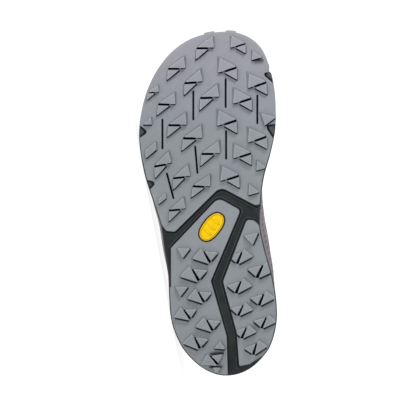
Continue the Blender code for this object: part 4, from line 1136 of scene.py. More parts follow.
def round_corners(points, radius, steps, shares=None):
    """An outline with its corners rounded, with as many points for any size."""
    outline = []
    for k, here in enumerate(points):
        back = (points[k - 1] - here).normalized()
        ahead = (points[(k + 1) % len(points)] - here).normalized()
        own = radius * (shares[k] if shares else 1.0)
        if own <= 0.0:
            outline.append(here)
            continue
        half_angle = 0.5 * back.angle(ahead)
        reach = own / math.tan(half_angle)
        centre = here + (back + ahead).normalized() * (own / math.sin(half_angle))
        start = here + back * reach - centre
        sweep = start.angle_signed(here + ahead * reach - centre)
        for step in range(steps + 1):
            turned = start.copy()
            turned.rotate(Matrix.Rotation(-sweep * step / steps, 2))
            outline.append(centre + turned)
    return outline


def moved_in(points, inset):
    """Corners of an outline moved inwards, so that every side moves by the inset."""
    area = 0.0
    for here, ahead in zip(points, points[1:] + points[:1]):
        area += here.cross(ahead)
    turn = math.copysign(1.0, area)
    moved = []
    for k, here in enumerate(points):
        back = (here - points[k - 1]).normalized()
        ahead = (points[(k + 1) % len(points)] - here).normalized()
        across = Vector((-back.y - ahead.y, back.x + ahead.x)).normalized() * turn
        square = across.dot(Vector((-back.y, back.x)) * turn)
        moved.append(here + across * inset / square)
    return moved


def pod_outline(corners, inset=0.0):
    points = moved_in([spot(row[0], row[1]) for row in corners], inset)
    return round_corners(points, BALL_WIDTH, 6, [row[2] for row in corners])


def bent_ring(solid, outline, height):
    """Corners of an outline at a height that follows the sole's curved underside."""
    return [
        solid.verts.new((point.x, point.y, height + rocker(point.x / SOLE_LENGTH)))
        for point in outline
    ]


def prism(outline, low, high):
    """A flat outline extruded between two heights."""
    solid = bmesh.new()
    face = solid.faces.new([solid.verts.new((point.x, point.y, low)) for point in outline])
    walls = bmesh.ops.extrude_face_region(solid, geom=[face])
    top = [item for item in walls["geom"] if isinstance(item, bmesh.types.BMVert)]
    bmesh.ops.translate(solid, verts=top, vec=(0.0, 0.0, high - low))
    return solid


def plate_margin(along):
    """How far the pods stay inside the sole's edge, where no rubber turns up over it."""
    return mix(0.0010, 0.0002, smooth(0.60, 0.80, along)) + 0.0024 * smooth(0.875, 0.93, along)


def sole_prism(margin):
    outline = [place.at(-plate_margin(place.along) - margin, 0.0).xy for place in RIM]
    return prism(outline, -0.01, 0.02)


def lug_bodies(lugs, width):
    """Every lug as a wedge with soft edges and corners and a foot that flares out."""
    solid = bmesh.new()
    for along, across, (pieces, _), turn, size in lugs:
        place = spot(along, across)
        spin = Matrix.Rotation(math.radians(turn), 2)
        for face, foot in pieces:
            tips = [place + spin @ (Vector((f * SOLE_LENGTH, i * width)) * size) for f, i in face]
            feet = [place + spin @ (Vector((f * SOLE_LENGTH, i * width)) * size) for f, i in foot]
            rings = []
            for grow, share, height in LUG_PROFILE:
                corners = [tip.lerp(base, share) for tip, base in zip(tips, feet)]
                outline = round_corners(moved_in(corners, -grow), 0.00045 + 0.0003 * share, 4)
                rings.append(bent_ring(solid, outline, height))
            # The soft top edge takes the painted highlight, the flanks take the painted shade.
            ring_band(solid, rings[:3], 2)
            ring_band(solid, rings[2:], 1)
            solid.faces.new(rings[0])
            solid.faces.new(rings[-1])
    return solid


def bend(solid):
    """Slices a flat solid where the sole curves up, then lifts it by the rocker."""
    for first, last, count in ((0.64, 0.99, 24), (0.010, 0.14, 10)):
        for k in range(count + 1):
            x = mix(first, last, k / count) * SOLE_LENGTH
            everything = solid.verts[:] + solid.edges[:] + solid.faces[:]
            bmesh.ops.bisect_plane(solid, geom=everything, dist=1e-6, plane_co=(x, 0, 0),
                                   plane_no=(1, 0, 0))
    for vertex in solid.verts:
        vertex.co.z += rocker(vertex.co.x / SOLE_LENGTH)


def even_normals(piece):
    """Keeps wide flat faces flat beside narrow rounded edges."""
    even = piece.modifiers.new("even", "WEIGHTED_NORMAL")
    even.mode = "FACE_AREA"
    even.keep_sharp = True
    baked(piece)


def build_pod(node, region, lugs, width, notches=(), sipes=(), recess=None):
    """A rubber pod: a plate with rounded edges, its lugs, and cuts in both painted black as shade."""
    plate_solid = bmesh.new()
    rings = []
    for grow, height in ((0.0, LUG_HEIGHT), (PLATE_FLARE, LUG_HEIGHT + RUBBER)):
        outline = pod_outline(region, -grow)
        rings.append([plate_solid.verts.new((point.x, point.y, height)) for point in outline])
    # The plate's walls are painted nearly black as shade.
    closed_tube(plate_solid, rings, 1)
    outward(plate_solid)
    plate = piece_from(node + "_plate", plate_solid, [RUBBER_GREY, POD_WALL_SHADE])
    combine(plate, sole_prism(0.0), "INTERSECT", RUBBER_GREY)
    for corners in notches:
        combine(plate, prism(pod_outline(corners), -0.012, 0.022), "DIFFERENCE", POD_WALL_SHADE)
    if recess:
        combine(plate, prism(recess, -0.001, LUG_HEIGHT + BADGE_RECESS), "DIFFERENCE", SHADE_BLACK)
    flat = bmesh.new()
    flat.from_mesh(plate.data)
    flat.transform(LAY.inverted())
    bmesh.ops.dissolve_limit(flat, angle_limit=math.radians(1.0), verts=flat.verts[:],
                             edges=flat.edges[:], delimit={"MATERIAL"})
    bend(flat)
    flat.transform(LAY)
    flat.to_mesh(plate.data)
    flat.free()
    bevel = plate.modifiers.new("soft_edges", "BEVEL")
    bevel.width = PLATE_EDGE
    bevel.segments = 3
    bevel.limit_method = "ANGLE"
    bevel.angle_limit = math.radians(35.0)
    bevel.use_clamp_overlap = False
    baked(plate)
    slots = lug_cuts(lugs, SLOT)
    for along, across, end_along, end_across in sipes:
        start = spot(along + GROOVE_REACH, across)
        end = spot(end_along - GROOVE_REACH, end_across)
        cut_solid(slots, start, end, GROOVE_WIDTH, LUG_HEIGHT - 0.001, LUG_HEIGHT + GROOVE_DEPTH)
    combine(plate, slots, "DIFFERENCE", SHADE_BLACK)
    widths = {cut[4] for lug in lugs for cut in lug[2][1]}
    undercuts = [pair for pair in ((CREASE, SHADE_BLACK), (FLANK, FLANK_SHADE)) if pair[0] in widths]
    for width_of_cut, shadow in undercuts:
        combine(plate, lug_cuts(lugs, width_of_cut), "DIFFERENCE", shadow, crossing=True)
    lugs_solid = lug_bodies(lugs, width)
    outward(lugs_solid)
    wedges = piece_from(node + "_lugs", lugs_solid, [RUBBER_GREY, RUBBER_FLANK_SHADED, RUBBER_EDGE_HIGHLIGHT])
    combine(wedges, sole_prism(0.0004), "INTERSECT", RUBBER_GREY)
    combine(wedges, prism(pod_outline(region, 0.0004), -0.011, 0.021), "INTERSECT", RUBBER_GREY)
    for corners in notches:
        hole = prism(pod_outline(corners, -0.0003), -0.012, 0.022)
        combine(wedges, hole, "DIFFERENCE", RUBBER_GREY)
    for width_of_cut, shadow in [(SLOT, SHADE_BLACK)] + undercuts:
        combine(wedges, lug_cuts(lugs, width_of_cut), "DIFFERENCE", shadow)
    for piece, angle in ((plate, 40.0), (wedges, 50.0)):
        shade(piece, angle)
        even_normals(piece)
        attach(piece, "root")
    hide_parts(node)


def edge_index(along, side):
    """Where a share along the sole lies in the run of places round the edge."""
    index = 0.0
    for k in range(SIDE_STATIONS):
        if RIM[k].along <= along <= RIM[k + 1].along:
            index = k + (along - RIM[k].along) / max(RIM[k + 1].along - RIM[k].along, 1e-9)
    return index if side < 0 else len(RIM) - index


def edge_at(index):
    """A place between two of the places round the edge."""
    low = int(math.floor(index)) % len(RIM)
    high = (low + 1) % len(RIM)
    share = index - math.floor(index)
    place = RimPlace(mix(RIM[low].along, RIM[high].along, share), RIM[low].side)
    place.point = RIM[low].point.lerp(RIM[high].point, share)
    place.out = RIM[low].out.lerp(RIM[high].out, share).normalized()
    return place


def rand_profile(place, near):
    """The toe rubber's cross-section at a place on the edge, which draws in near its ends."""
    along = place.along
    floor = rocker(along) + LUG_HEIGHT - 0.00002
    rise = mix(*RAND_RISE, smooth(0.82, 0.965, along))
    rounding = mix(*RAND_ROUND, smooth(0.84, 0.96, along))
    edge = mix(-0.0009, 0.0, smooth(0.60, 0.80, along)) + 0.0001 * smooth(0.84, 0.90, along)
    edge -= RAND_END * (1.0 - smooth(0, 12, near))
    rib = 0.0
    if along > 0.95:
        across = place.point.y / BALL_WIDTH
        for low, high in TOE_RIBS:
            starts = smooth(low - RIB_EDGE, low + RIB_EDGE, across)
            rib += RIB_HEIGHT * starts * (1.0 - smooth(high - RIB_EDGE, high + RIB_EDGE, across))
    lift = min(0.85 * rounding, 0.5 * rise)
    profile = [(edge - rounding - 0.0022, floor + 0.0006), (edge - rounding - 0.0020, floor)]
    for angle in range(0, 91, 15):
        sine = math.sin(math.radians(angle))
        out = edge - rounding * (1.0 - sine) + rib * sine ** 2
        profile.append((out, floor + lift * (1.0 - math.cos(math.radians(angle)))))
    return profile + [
        (edge + rib, floor + 0.72 * rise), (edge + 0.6 * rib - 0.0002, floor + rise - 0.00035),
        (edge - 0.0007, floor + rise), (-0.0017, floor + rise - 0.0002), (-0.0021, floor + 0.0016),
    ]


def build_toe_rand():
    """Rubber that carries the front pod to the sole's edge and up over the toe."""
    solid = bmesh.new()
    runs = [(edge_index(RAND_BACK[-1], -1), edge_index(RAND_BACK[1], 1))]
    for side, start, end in RANDS:
        runs.append(sorted((edge_index(start, side), edge_index(end, side))))
    for first, last in runs:
        steps = max(8, round((last - first) * 6.0))
        sections = []
        for step in range(steps + 1):
            place = edge_at(mix(first, last, step / steps))
            profile = rand_profile(place, min(step, steps - step))
            sections.append([solid.verts.new(place.at(out, height)) for out, height in profile])
        closed_tube(solid, sections)
    outward(solid)
    piece = piece_from("toe_rand", solid, [RUBBER_GREY])
    shade(piece, 48.0)
    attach(piece, "root")


def build_teeth():
    """Fine teeth along the edges of small lugs, dark with painted shade."""
    solid = bmesh.new()
    for along, across, turn, count, length in TEETH:
        place = spot(along, across)
        middle = Matrix.Translation((place.x, place.y, rocker(along) + TOOTH_LEVEL))
        middle = middle @ Matrix.Rotation(math.radians(turn), 4, "Z")
        for k in range(count):
            beside = Matrix.Translation((0.0, (k - 0.5 * (count - 1)) * TOOTH_PITCH, 0.0))
            reach = length * (1.0 if k % 2 else 0.7)
            size = Matrix.Diagonal((reach, TOOTH_WIDTH, TOOTH_HEIGHT, 1.0))
            bmesh.ops.create_cube(solid, size=1.0, matrix=middle @ beside @ size)
    outward(solid)
    piece = piece_from("lug_teeth", solid, [FLANK_SHADE])
    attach(piece, "root")


def build_channel_lines():
    """Moulded lines in the foam that follow the pods along the channel: lighter ones whose tone is a
    painted highlight, and black ones of painted shade.
    """
    solid = bmesh.new()
    for rows, half, index in ((LIGHT_LINES, LIGHT_LINE, 0), (SHADE_LINES, SHADE_LINE, 1)):
        for corners, grow, first, last in rows:
            line = pod_outline(corners, -grow)[first:last]
            sections = []
            for k, here in enumerate(line):
                run = (line[min(k + 1, len(line) - 1)] - line[max(k - 1, 0)]).normalized()
                across = Vector((-run.y, run.x)) * half
                top = underside(here.x / SOLE_LENGTH)
                section = []
                for side, height in LINE_SECTION:
                    flat = here + across * side
                    section.append(solid.verts.new((flat.x, flat.y, top + height)))
                sections.append(section)
            closed_tube(solid, sections, index)
    outward(solid)
    piece = piece_from("channel_lines", solid, [FOAM_LINE, SHADE_BLACK])
    shade(piece, 50.0)
    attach(piece, "root")


def build_notch_tongues():
    """Small raised tongues of foam that fill the notches of the front pod."""
    solid = bmesh.new()
    top = LUG_HEIGHT + RUBBER
    for corners in NOTCHES:
        rings = []
        for inset, height in ((0.0012, 0.0008), (0.0012, -0.0006), (0.0017, -0.0010)):
            rings.append(bent_ring(solid, pod_outline(corners, inset), top + height))
        closed_tube(solid, rings)
    outward(solid)
    piece = piece_from("notch_tongues", solid, [FOAM_LINE])
    combine(piece, sole_prism(0.0004), "INTERSECT", FOAM_LINE)
    shade(piece, 40.0)
    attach(piece, "root")


# Midsole

def side_inset(place):
    """Room for the toe's rubber in the midsole's side, which starts later on the inner side."""
    if place.side < 0:
        return toe_inset(place.along)
    return (TOE_WRAP + CLEARANCE) * smooth(0.880, 0.893, place.along)


def build_midsole():
    """The foam sole with a rounded, stepped side."""
    solid = bmesh.new()
    rings = []
    for inset, share in SIDE_PROFILE:
        ring = []
        for place in RIM:
            height = mix(underside(place.along), lip_top(place.along, place.side), share)
            ring.append(solid.verts.new(place.at(-inset * SIDE_STEP - side_inset(place), height)))
        rings.append(ring)
    lip = LIP_INSET + CUP_LIP
    for inset, drop in ((lip - 0.0006, 0.0), (lip, 0.06), (lip + CUP_SLOPE, 1.0)):
        ring = []
        for place in RIM:
            height = mix(lip_top(place.along, place.side), bed(place.along), drop)
            ring.append(solid.verts.new(place.at(-inset - toe_inset(place.along), height)))
        rings.append(ring)
    ring_band(solid, rings)
    ladder_cap(solid, rings[0])
    ladder_cap(solid, rings[-1])
    outward(solid)
    piece = piece_from("midsole_foam", solid, [FOAM_DARK])
    shade(piece, 50.0)
    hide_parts("midsole")
    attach(piece, "root")


# Upper

def bare_normals():
    """Outward direction at every vertex of the upper's bare surface."""
    solid = bmesh.new()
    grid = []
    count = len(RIM)
    for k, place in enumerate(RIM):
        column = [solid.verts.new(rib_point(place, level)) for level in LEVELS[k]]
        if k > TOE_INDEX and place.along >= THROAT_FRONT:
            solid.verts.remove(column[-1])
            column[-1] = grid[count - k][-1]
        grid.append(column)
    for k in range(count):
        after = (k + 1) % count
        for row in range(len(grid[0]) - 1):
            corners = [grid[k][row], grid[after][row], grid[after][row + 1], grid[k][row + 1]]
            solid.faces.new(list(dict.fromkeys(corners)))
    solid.normal_update()
    side = grid[TOE_INDEX // 2][8]
    flip = 1.0 if side.normal.y < 0.0 else -1.0
    normals = [[vertex.normal.copy() * flip for vertex in column] for column in grid]
    points = [[vertex.co.copy() for vertex in column] for column in grid]
    solid.free()
    return points, normals


POINTS, NORMALS = bare_normals()
ROWS = len(LEVELS[0])


def outer_point(k, row):
    """A point on the finished outer face of the upper."""
    place = RIM[k]
    level = LEVELS[k][row]
    lift = overlay_at(place, level) + relief_at(place, level, POINTS[k][row])
    return POINTS[k][row] + NORMALS[k][row] * lift


def inner_point(k, row):
    place = RIM[k]
    level = LEVELS[k][row]
    direction = NORMALS[k][row].copy()
    if row == 0:
        direction.z = 0.0
        direction.normalize()
    return POINTS[k][row] - direction * wall_at(place, level)


def build_upper():
    """One hollow wall with film, mesh, eyestay and a padded, rolled collar."""
    solid = bmesh.new()
    layer = solid.loops.layers.uv.new("surface")
    count = len(RIM)
    outside = []
    inside = []
    roll = []
    heights = []
    inner_rows = [row for row in range(ROWS) if row % 2 == 0 or row > ROWS - 8]
    for k, place in enumerate(RIM):
        closed = place.along >= THROAT_FRONT
        mirrored = closed and k > TOE_INDEX
        outer = [outer_point(k, row) for row in range(ROWS)]
        inner = [inner_point(k, row) for row in inner_rows]
        height = [0.0]
        for here, ahead in zip(outer, outer[1:]):
            height.append(height[-1] + (ahead - here).length)
        heights.append(height)
        column = [solid.verts.new(point) for point in outer[:-1]]
        column.append(outside[count - k][-1] if mirrored else solid.verts.new(outer[-1]))
        outside.append(column)
        column = [solid.verts.new(point) for point in inner[:-1]]
        column.append(inside[count - k][-1] if mirrored else solid.verts.new(inner[-1]))
        inside.append(column)
        if closed:
            roll.append(None)
            continue
        middle = 0.5 * (outer[-1] + inner[-1])
        half = 0.5 * (outer[-1] - inner[-1])
        up = (outer[-1] - outer[-3]).normalized()
        rise = min(half.length, 0.0030)
        arc = []
        for step in range(1, ROLL_STEPS):
            angle = math.pi * step / ROLL_STEPS
            arc.append(solid.verts.new(middle + half * math.cos(angle) + up * rise * math.sin(angle)))
        roll.append(arc)

    def quad(corners, index, places):
        face = solid.faces.new(list(dict.fromkeys(corners)))
        face.material_index = index
        for loop in face.loops:
            loop[layer].uv = places[corners.index(loop.vert)]

    walk_end = RIM[-1].walk + (RIM[0].point - RIM[-1].point).length
    for k in range(count):
        after = (k + 1) % count
        left = RIM[k].walk
        right = RIM[after].walk if after else walk_end
        for row in range(ROWS - 1):
            level = 0.5 * (LEVELS[k][row] + LEVELS[k][row + 1])
            if level < rand_level(RIM[k]):
                index = 1
            elif level > stay_level(RIM[k]) and stay_share(RIM[k]) > 0.5:
                index = 2
            else:
                index = 0
            quad([outside[k][row], outside[after][row], outside[after][row + 1], outside[k][row + 1]],
                 index, [(left, heights[k][row]), (right, heights[after][row]),
                         (right, heights[after][row + 1]), (left, heights[k][row + 1])])
        for step in range(len(inner_rows) - 1):
            low, high = inner_rows[step], inner_rows[step + 1]
            quad([inside[k][step], inside[k][step + 1], inside[after][step + 1], inside[after][step]],
                 3, [(left, heights[k][low]), (left, heights[k][high]),
                     (right, heights[after][high]), (right, heights[after][low])])
        quad([outside[k][0], inside[k][0], inside[after][0], outside[after][0]], 3,
             [(left, 0.0), (left, 0.002), (right, 0.002), (right, 0.0)])
        rims = [[outside[end][-1]] + (roll[end] or []) + [inside[end][-1]] for end in (k, after)]
        top = heights[k][-1]
        if roll[k] and roll[after]:
            for step in range(len(rims[0]) - 1):
                index = 2 if stay_share(RIM[k]) > 0.5 and step < 3 else 3
                low = top + 0.0012 * step
                high = low + 0.0012
                quad([rims[0][step], rims[1][step], rims[1][step + 1], rims[0][step + 1]], index,
                     [(left, low), (right, low), (right, high), (left, high)])
        elif roll[k] or roll[after]:
            fan = rims[0] + rims[1][::-1] if roll[k] else rims[1] + rims[0][::-1]
            face = solid.faces.new(list(dict.fromkeys(fan)))
            face.material_index = 2
    outward(solid)
    piece = piece_from("upper_fabric", solid, [MESH_MAUVE, FILM, STAY_PLUM, LINING])
    punch_eyelets(piece)
    shade(piece, 60.0)
    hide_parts("upper")
    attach(piece, "root")


def wall_frame(along, side, level):
    """A point on the upper's outer face and the direction out of the wall there."""
    place = RimPlace(along, side)
    ahead = RimPlace(along + 0.01, side)
    place.out = Vector((0.0, side))
    ahead.out = Vector((0.0, side))
    point = rib_point(place, level)
    up = point - rib_point(place, level - 0.10)
    forwards = rib_point(ahead, level) - point
    out = up.cross(forwards).normalized()
    if out.z < 0.0:
        out = -out
    return point, out


def eyelet_along(row):
    return mix(FIRST_EYELET, LAST_EYELET, row / (EYELET_ROWS - 1))


def eyelet_place(row, side):
    """Middle of an eyelet on the eyestay and the direction out of the wall."""
    return wall_frame(eyelet_along(row), side, EYELET_LEVEL)


EYELETS = [eyelet_place(row, side) for row in range(EYELET_ROWS) for side in (-1, 1)]


def punch_eyelets(piece):
    holes = bmesh.new()
    radius = EYELET_RADIUS - 0.0003
    for middle, out in EYELETS:
        turn = out.to_track_quat("Z", "Y").to_matrix().to_4x4()
        bmesh.ops.create_cone(
            holes, cap_ends=True, segments=20, radius1=radius, radius2=radius, depth=4.0 * WALL,
            matrix=Matrix.Translation(middle) @ turn,
        )
    combine(piece, holes, "DIFFERENCE", MESH_MAUVE)


# Stitches and eyelet rings

class Growth:
    """A Geometry Nodes tree while it is being put together, with named sizes as inputs."""

    def __init__(self, name, sizes):
        self.tree = bpy.data.node_groups.new(name, "GeometryNodeTree")
        face = self.tree.interface
        face.new_socket("Geometry", in_out="INPUT", socket_type="NodeSocketGeometry")
        self.sizes = {}
        for label, value in sizes.items():
            socket = face.new_socket(label, in_out="INPUT", socket_type="NodeSocketFloat")
            self.sizes[socket.identifier] = value
        face.new_socket("Geometry", in_out="OUTPUT", socket_type="NodeSocketGeometry")
        self.inputs = self.tree.nodes.new("NodeGroupInput").outputs
        self.result = self.tree.nodes.new("NodeGroupOutput").inputs[0]

    def add(self, kind, settings=None, values=None):
        node = self.tree.nodes.new(kind)
        for name, setting in (settings or {}).items():
            setattr(node, name, setting)
        for name, value in (values or {}).items():
            if isinstance(value, bpy.types.NodeSocket):
                self.tree.links.new(value, node.inputs[name])
            else:
                node.inputs[name].default_value = value
        return node

    def out_of_wall(self):
        """The direction out of the wall, as stored on the points."""
        settings = {"data_type": "FLOAT_VECTOR"}
        return self.add("GeometryNodeInputNamedAttribute", settings, {"Name": "out"}).outputs[0]

    def finish(self, points, instance, rotation, material):
        """One instance on every point, realized and given its material."""
        values = {"Points": points, "Instance": instance, "Rotation": rotation}
        spread = self.add("GeometryNodeInstanceOnPoints", {}, values).outputs[0]
        real = self.add("GeometryNodeRealizeInstances", {}, {0: spread}).outputs[0]
        dressed = self.add("GeometryNodeSetMaterial", {}, {"Geometry": real, "Material": material})
        self.tree.links.new(dressed.outputs[0], self.result)

    def grow(self, name, paths):
        """Runs the tree on paths of points with directions, and keeps a plain mesh."""
        mesh = bpy.data.meshes.new(name)
        points = [point for path in paths for point, _ in path]
        edges = []
        first = 0
        for path in paths:
            edges += [(first + k, first + k + 1) for k in range(len(path) - 1)]
            first += len(path)
        mesh.from_pydata([LAY @ point for point in points], edges, [])
        store = mesh.attributes.new("out", "FLOAT_VECTOR", "POINT")
        turn = LAY.to_3x3()
        for k, out in enumerate(out for path in paths for _, out in path):
            store.data[k].vector = turn @ out
        piece = bpy.data.objects.new(name, mesh)
        bpy.context.scene.collection.objects.link(piece)
        nodes = piece.modifiers.new("growth", "NODES")
        nodes.node_group = self.tree
        for identifier, value in self.sizes.items():
            nodes[identifier] = value
        baked(piece)
        return piece


def face_point(k, level):
    """A seam's point just off the upper at a level of a rib, and the direction out of it."""
    levels = LEVELS[k]
    row = max(index for index in range(len(levels) - 1) if levels[index] <= level)
    share = (level - levels[row]) / max(levels[row + 1] - levels[row], 1e-9)
    out = NORMALS[k][row].lerp(NORMALS[k][row + 1], share).normalized()
    return outer_point(k, row).lerp(outer_point(k, row + 1), share) + out * SEAM_LIFT, out


def stitch_paths():
    """Seams: two rows on the eyestay, one at the throat, one under the collar, two at the heel."""
    paths = []
    count = len(RIM)
    for side in (-1, 1):
        ribs = [k for k in range(count) if RIM[k].side == side]
        stay = [k for k in ribs if THROAT_BACK - 0.055 <= RIM[k].along <= THROAT_FRONT + 0.045]
        for gap in STAY_SEAMS:
            row = []
            for k in stay:
                level = stay_level(RIM[k]) + gap
                if level < 1.985:
                    row.append(face_point(k, level))
            paths.append(row)
        throat = [k for k in ribs if THROAT_BACK - 0.02 <= RIM[k].along <= THROAT_FRONT - 0.030]
        paths.append([face_point(k, THROAT_SEAM) for k in throat])
    ribs = range(-count // 2, count // 2)
    collar = [k for k in ribs if RIM[k % count].along <= THROAT_BACK - 0.07]
    paths.append([face_point(k % count, COLLAR_SEAM) for k in collar])
    for k in (1, -1):
        levels = [mix(rand_level(RIM[k]) + 0.04, 1.52, step / 24) for step in range(25)]
        paths.append([face_point(k % count, level) for level in levels])
    return paths


def build_stitches():
    """Short raised stitches along every seam of the upper."""
    growth = Growth("stitch_rows", {"Pitch": STITCH_PITCH, "Length": STITCH_LENGTH,
                                    "Width": STITCH_WIDTH})
    curve = growth.add("GeometryNodeMeshToCurve", {}, {"Mesh": growth.inputs["Geometry"]}).outputs[0]
    values = {"Curve": curve, "Length": growth.inputs["Pitch"]}
    points = growth.add("GeometryNodeCurveToPoints", {"mode": "LENGTH"}, values)
    ball = growth.add("GeometryNodeMeshUVSphere", {}, {"Segments": 8, "Rings": 6, "Radius": 0.5})
    parts = {"X": growth.inputs["Length"], "Y": growth.inputs["Width"], "Z": growth.inputs["Width"]}
    scale = growth.add("ShaderNodeCombineXYZ", {}, parts).outputs[0]
    values = {"Geometry": ball.outputs[0], "Scale": scale}
    stitch = growth.add("GeometryNodeTransform", {}, values).outputs[0]
    settings = {"primary_axis": "X", "secondary_axis": "Z"}
    values = {"Primary Axis": points.outputs["Tangent"], "Secondary Axis": growth.out_of_wall()}
    turn = growth.add("FunctionNodeAxesToRotation", settings, values).outputs[0]
    growth.finish(points.outputs["Points"], stitch, turn, THREAD)
    piece = growth.grow("upper_stitches", stitch_paths())
    shade(piece, 80.0)
    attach(piece, "root")


def build_rings():
    """A thin raised ring round each punched eyelet."""
    growth = Growth("eyelet_rings", {"Radius": EYELET_RADIUS, "Wire": RING_WIRE})
    circles = []
    for resolution, size in ((24, "Radius"), (8, "Wire")):
        values = {"Resolution": resolution, "Radius": growth.inputs[size]}
        circles.append(growth.add("GeometryNodeCurvePrimitiveCircle", {}, values).outputs[0])
    values = {"Curve": circles[0], "Profile Curve": circles[1]}
    ring = growth.add("GeometryNodeCurveToMesh", {}, values).outputs[0]
    values = {"Vector": growth.out_of_wall()}
    turn = growth.add("FunctionNodeAlignRotationToVector", {"axis": "Z"}, values).outputs[0]
    values = {"Mesh": growth.inputs["Geometry"]}
    points = growth.add("GeometryNodeMeshToPoints", {}, values).outputs[0]
    growth.finish(points, ring, turn, STAY_PLUM)
    places = [[(middle + out * (OVERLAY + SEAM_LIFT), out)] for middle, out in EYELETS]
    piece = growth.grow("eyelet_rims", places)
    shade(piece, 80.0)
    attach(piece, "root")


# Tongue and insole

def tongue_section(along, drop):
    """Points across the tongue: its edges lie under the wall, its middle fills the throat."""
    inside = min(max(along, THROAT_BACK + 0.004), THROAT_FRONT - 0.028)
    under_vamp = smooth(THROAT_FRONT - 0.10, THROAT_FRONT - 0.02, along)
    crest = crest_point(inside)
    half = read(THROAT, inside, 1) * BALL_WIDTH
    points = []
    for side in (-1, 1):
        edge = []
        for level in TONGUE_LEVELS:
            point, out = wall_frame(inside, side, level)
            edge.append(point - out * (WALL + mix(1.0, 1.8, under_vamp) * TONGUE_ROOM + drop))
        offset = 0.42 * half * side
        sink = mix(1.2 * TONGUE_ROOM, WALL + 1.6 * TONGUE_ROOM, under_vamp) + 1.2 * drop
        curve = THROAT_DROP * offset * offset / half
        edge.append(Vector((crest.x, crest.y + offset, crest.z - curve - sink)))
        points += edge if side < 0 else edge[::-1]
    if along > inside:
        shift = crest_point(along) - crest
        return [point + shift for point in points]
    back = inside - along
    if back <= 0.0:
        return points
    shift = Vector((-back, 0.0, TONGUE_RISE * back)) * SOLE_LENGTH
    narrow = 1.0 - 0.40 * smooth(0.03, TONGUE_OVER + 0.012, back) - 3.0 * back
    narrow *= math.sqrt(max(1.0 - (max(back - 0.050, 0.0) / 0.023) ** 2, 0.12))
    middle = crest.y
    for point in points:
        point.y = middle + (point.y - middle) * narrow
        point.z -= 0.6 * max(back - 0.045, 0.0) * abs(point.y - middle)
    return [point + shift for point in points]


def build_tongue():
    """A padded tongue with rounded edges."""
    solid = bmesh.new()
    layer = solid.loops.layers.uv.new("surface")
    stations = [mix(THROAT_FRONT + 0.025, THROAT_BACK, k / 14) for k in range(15)]
    stations += [THROAT_BACK - TONGUE_OVER * share for share in (0.25, 0.5, 0.70, 0.86, 0.96, 1.0)]
    sections = []
    for along in stations:
        puff = 0.0006 * (1.0 - smooth(0.62, 0.70, along)) * (1.0 - smooth(0.0, 0.05, 0.41 - along))
        top = tongue_section(along, -puff * smooth(0.30, 0.40, along))
        low = tongue_section(along, TONGUE)
        sections.append([solid.verts.new(point) for point in top + low[::-1]])
    closed_tube(solid, sections)
    for face in solid.faces:
        for loop in face.loops:
            loop[layer].uv = (loop.vert.co.x, loop.vert.co.y * 1.15)
    outward(solid)
    piece = piece_from("tongue_padded", solid, [TONGUE_KNIT])
    soften = piece.modifiers.new("soft", "SUBSURF")
    soften.levels = 2
    soften.render_levels = 2
    baked(piece)
    shade(piece, 80.0)
    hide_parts("tongue")
    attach(piece, "root")


def build_insole():
    """The footbed, dished at the heel, with a rounded edge."""
    solid = bmesh.new()
    lip = LIP_INSET + CUP_LIP + CLEARANCE + CUP_SLOPE + WALL + CLEARANCE
    rings = []
    profile = (
        (0.0006, 0.0), (0.0, 0.25), (0.0, 0.80), (0.0005, 0.97), (0.0014, 1.0), (0.006, 0.93),
        (0.012, 0.90),
    )
    for inset, thick in profile:
        ring = []
        for place in RIM:
            height = bed(place.along) + GAP + INSOLE * thick
            ring.append(solid.verts.new(place.at(-lip - inset - toe_inset(place.along), height)))
        rings.append(ring)
    ring_band(solid, rings)
    ladder_cap(solid, rings[0])
    ladder_cap(solid, rings[-1])
    outward(solid)
    piece = piece_from("insole_footbed", solid, [FOOTBED])
    shade(piece, 50.0)
    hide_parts("insole")
    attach(piece, "root")


# Lace

def over_throat(start, end, share, lift):
    """A point of a crossing, on the curve of the instep."""
    point = start.lerp(end, share)
    along = point.x / SOLE_LENGTH
    crest = crest_point(along)
    offset = point.y - crest.y
    half = read(THROAT, along, 1) * BALL_WIDTH
    slope = 2.0 * THROAT_DROP * offset / half
    point.z = crest.z - THROAT_DROP * offset * offset / half + lift * math.hypot(1.0, slope)
    normal = Vector((0.0, slope, 1.0)).normalized()
    return point, normal


def over_rim(row, side, shift):
    """A point of a crossing where it turns over the edge of the throat."""
    along = eyelet_along(row) + shift
    rim, out = wall_frame(along, side, 2.0)
    up = (rim - wall_frame(along, side, 1.93)[0]).normalized()
    normal = (out + up * max(up.z, 0.0)).normalized()
    return rim + normal * (OVERLAY + 0.5 * LACE_THICK + 0.0007), normal


def through_eyelet(middle, out, towards):
    """Four points and normals of a lace that comes up through an eyelet and leaves it."""
    return [
        (middle - out * 0.0042, towards),
        (middle - out * 0.0012, towards),
        (middle + out * (OVERLAY + 0.0002) + towards * 0.0002, (out * 0.3 + towards).normalized()),
        (middle + out * (LACE_LIFT + 0.0004) + towards * 0.0016, (out + towards * 0.5).normalized()),
    ]


def crossing_path(first, last, dive, lift):
    """Points and normals of a crossing: up through one eyelet, over the tongue, and down
    through the other eyelet or, where it dives, under the far edge of the throat."""
    start, start_out = eyelet_place(*first)
    end, end_out = eyelet_place(*last)
    towards = (end - start).normalized()
    step = 0.0045 * (first[0] - last[0])
    path = through_eyelet(start, start_out, towards)
    path.append(over_rim(*first, step))
    for share in (0.34, 0.46, 0.58, 0.68, 0.77) if dive else (0.34, 0.5, 0.66):
        height = LACE_LIFT + lift * math.sin(math.pi * share) ** 2
        path.append(over_throat(start, end, share, height))
    if dive:
        path.append(over_throat(start, end, 0.86, -0.0012))
        path.append(over_throat(start, end, 0.94, -0.0034))
    else:
        path.append(over_rim(*last, -step))
        path += through_eyelet(end, end_out, -towards)[::-1]
    return path


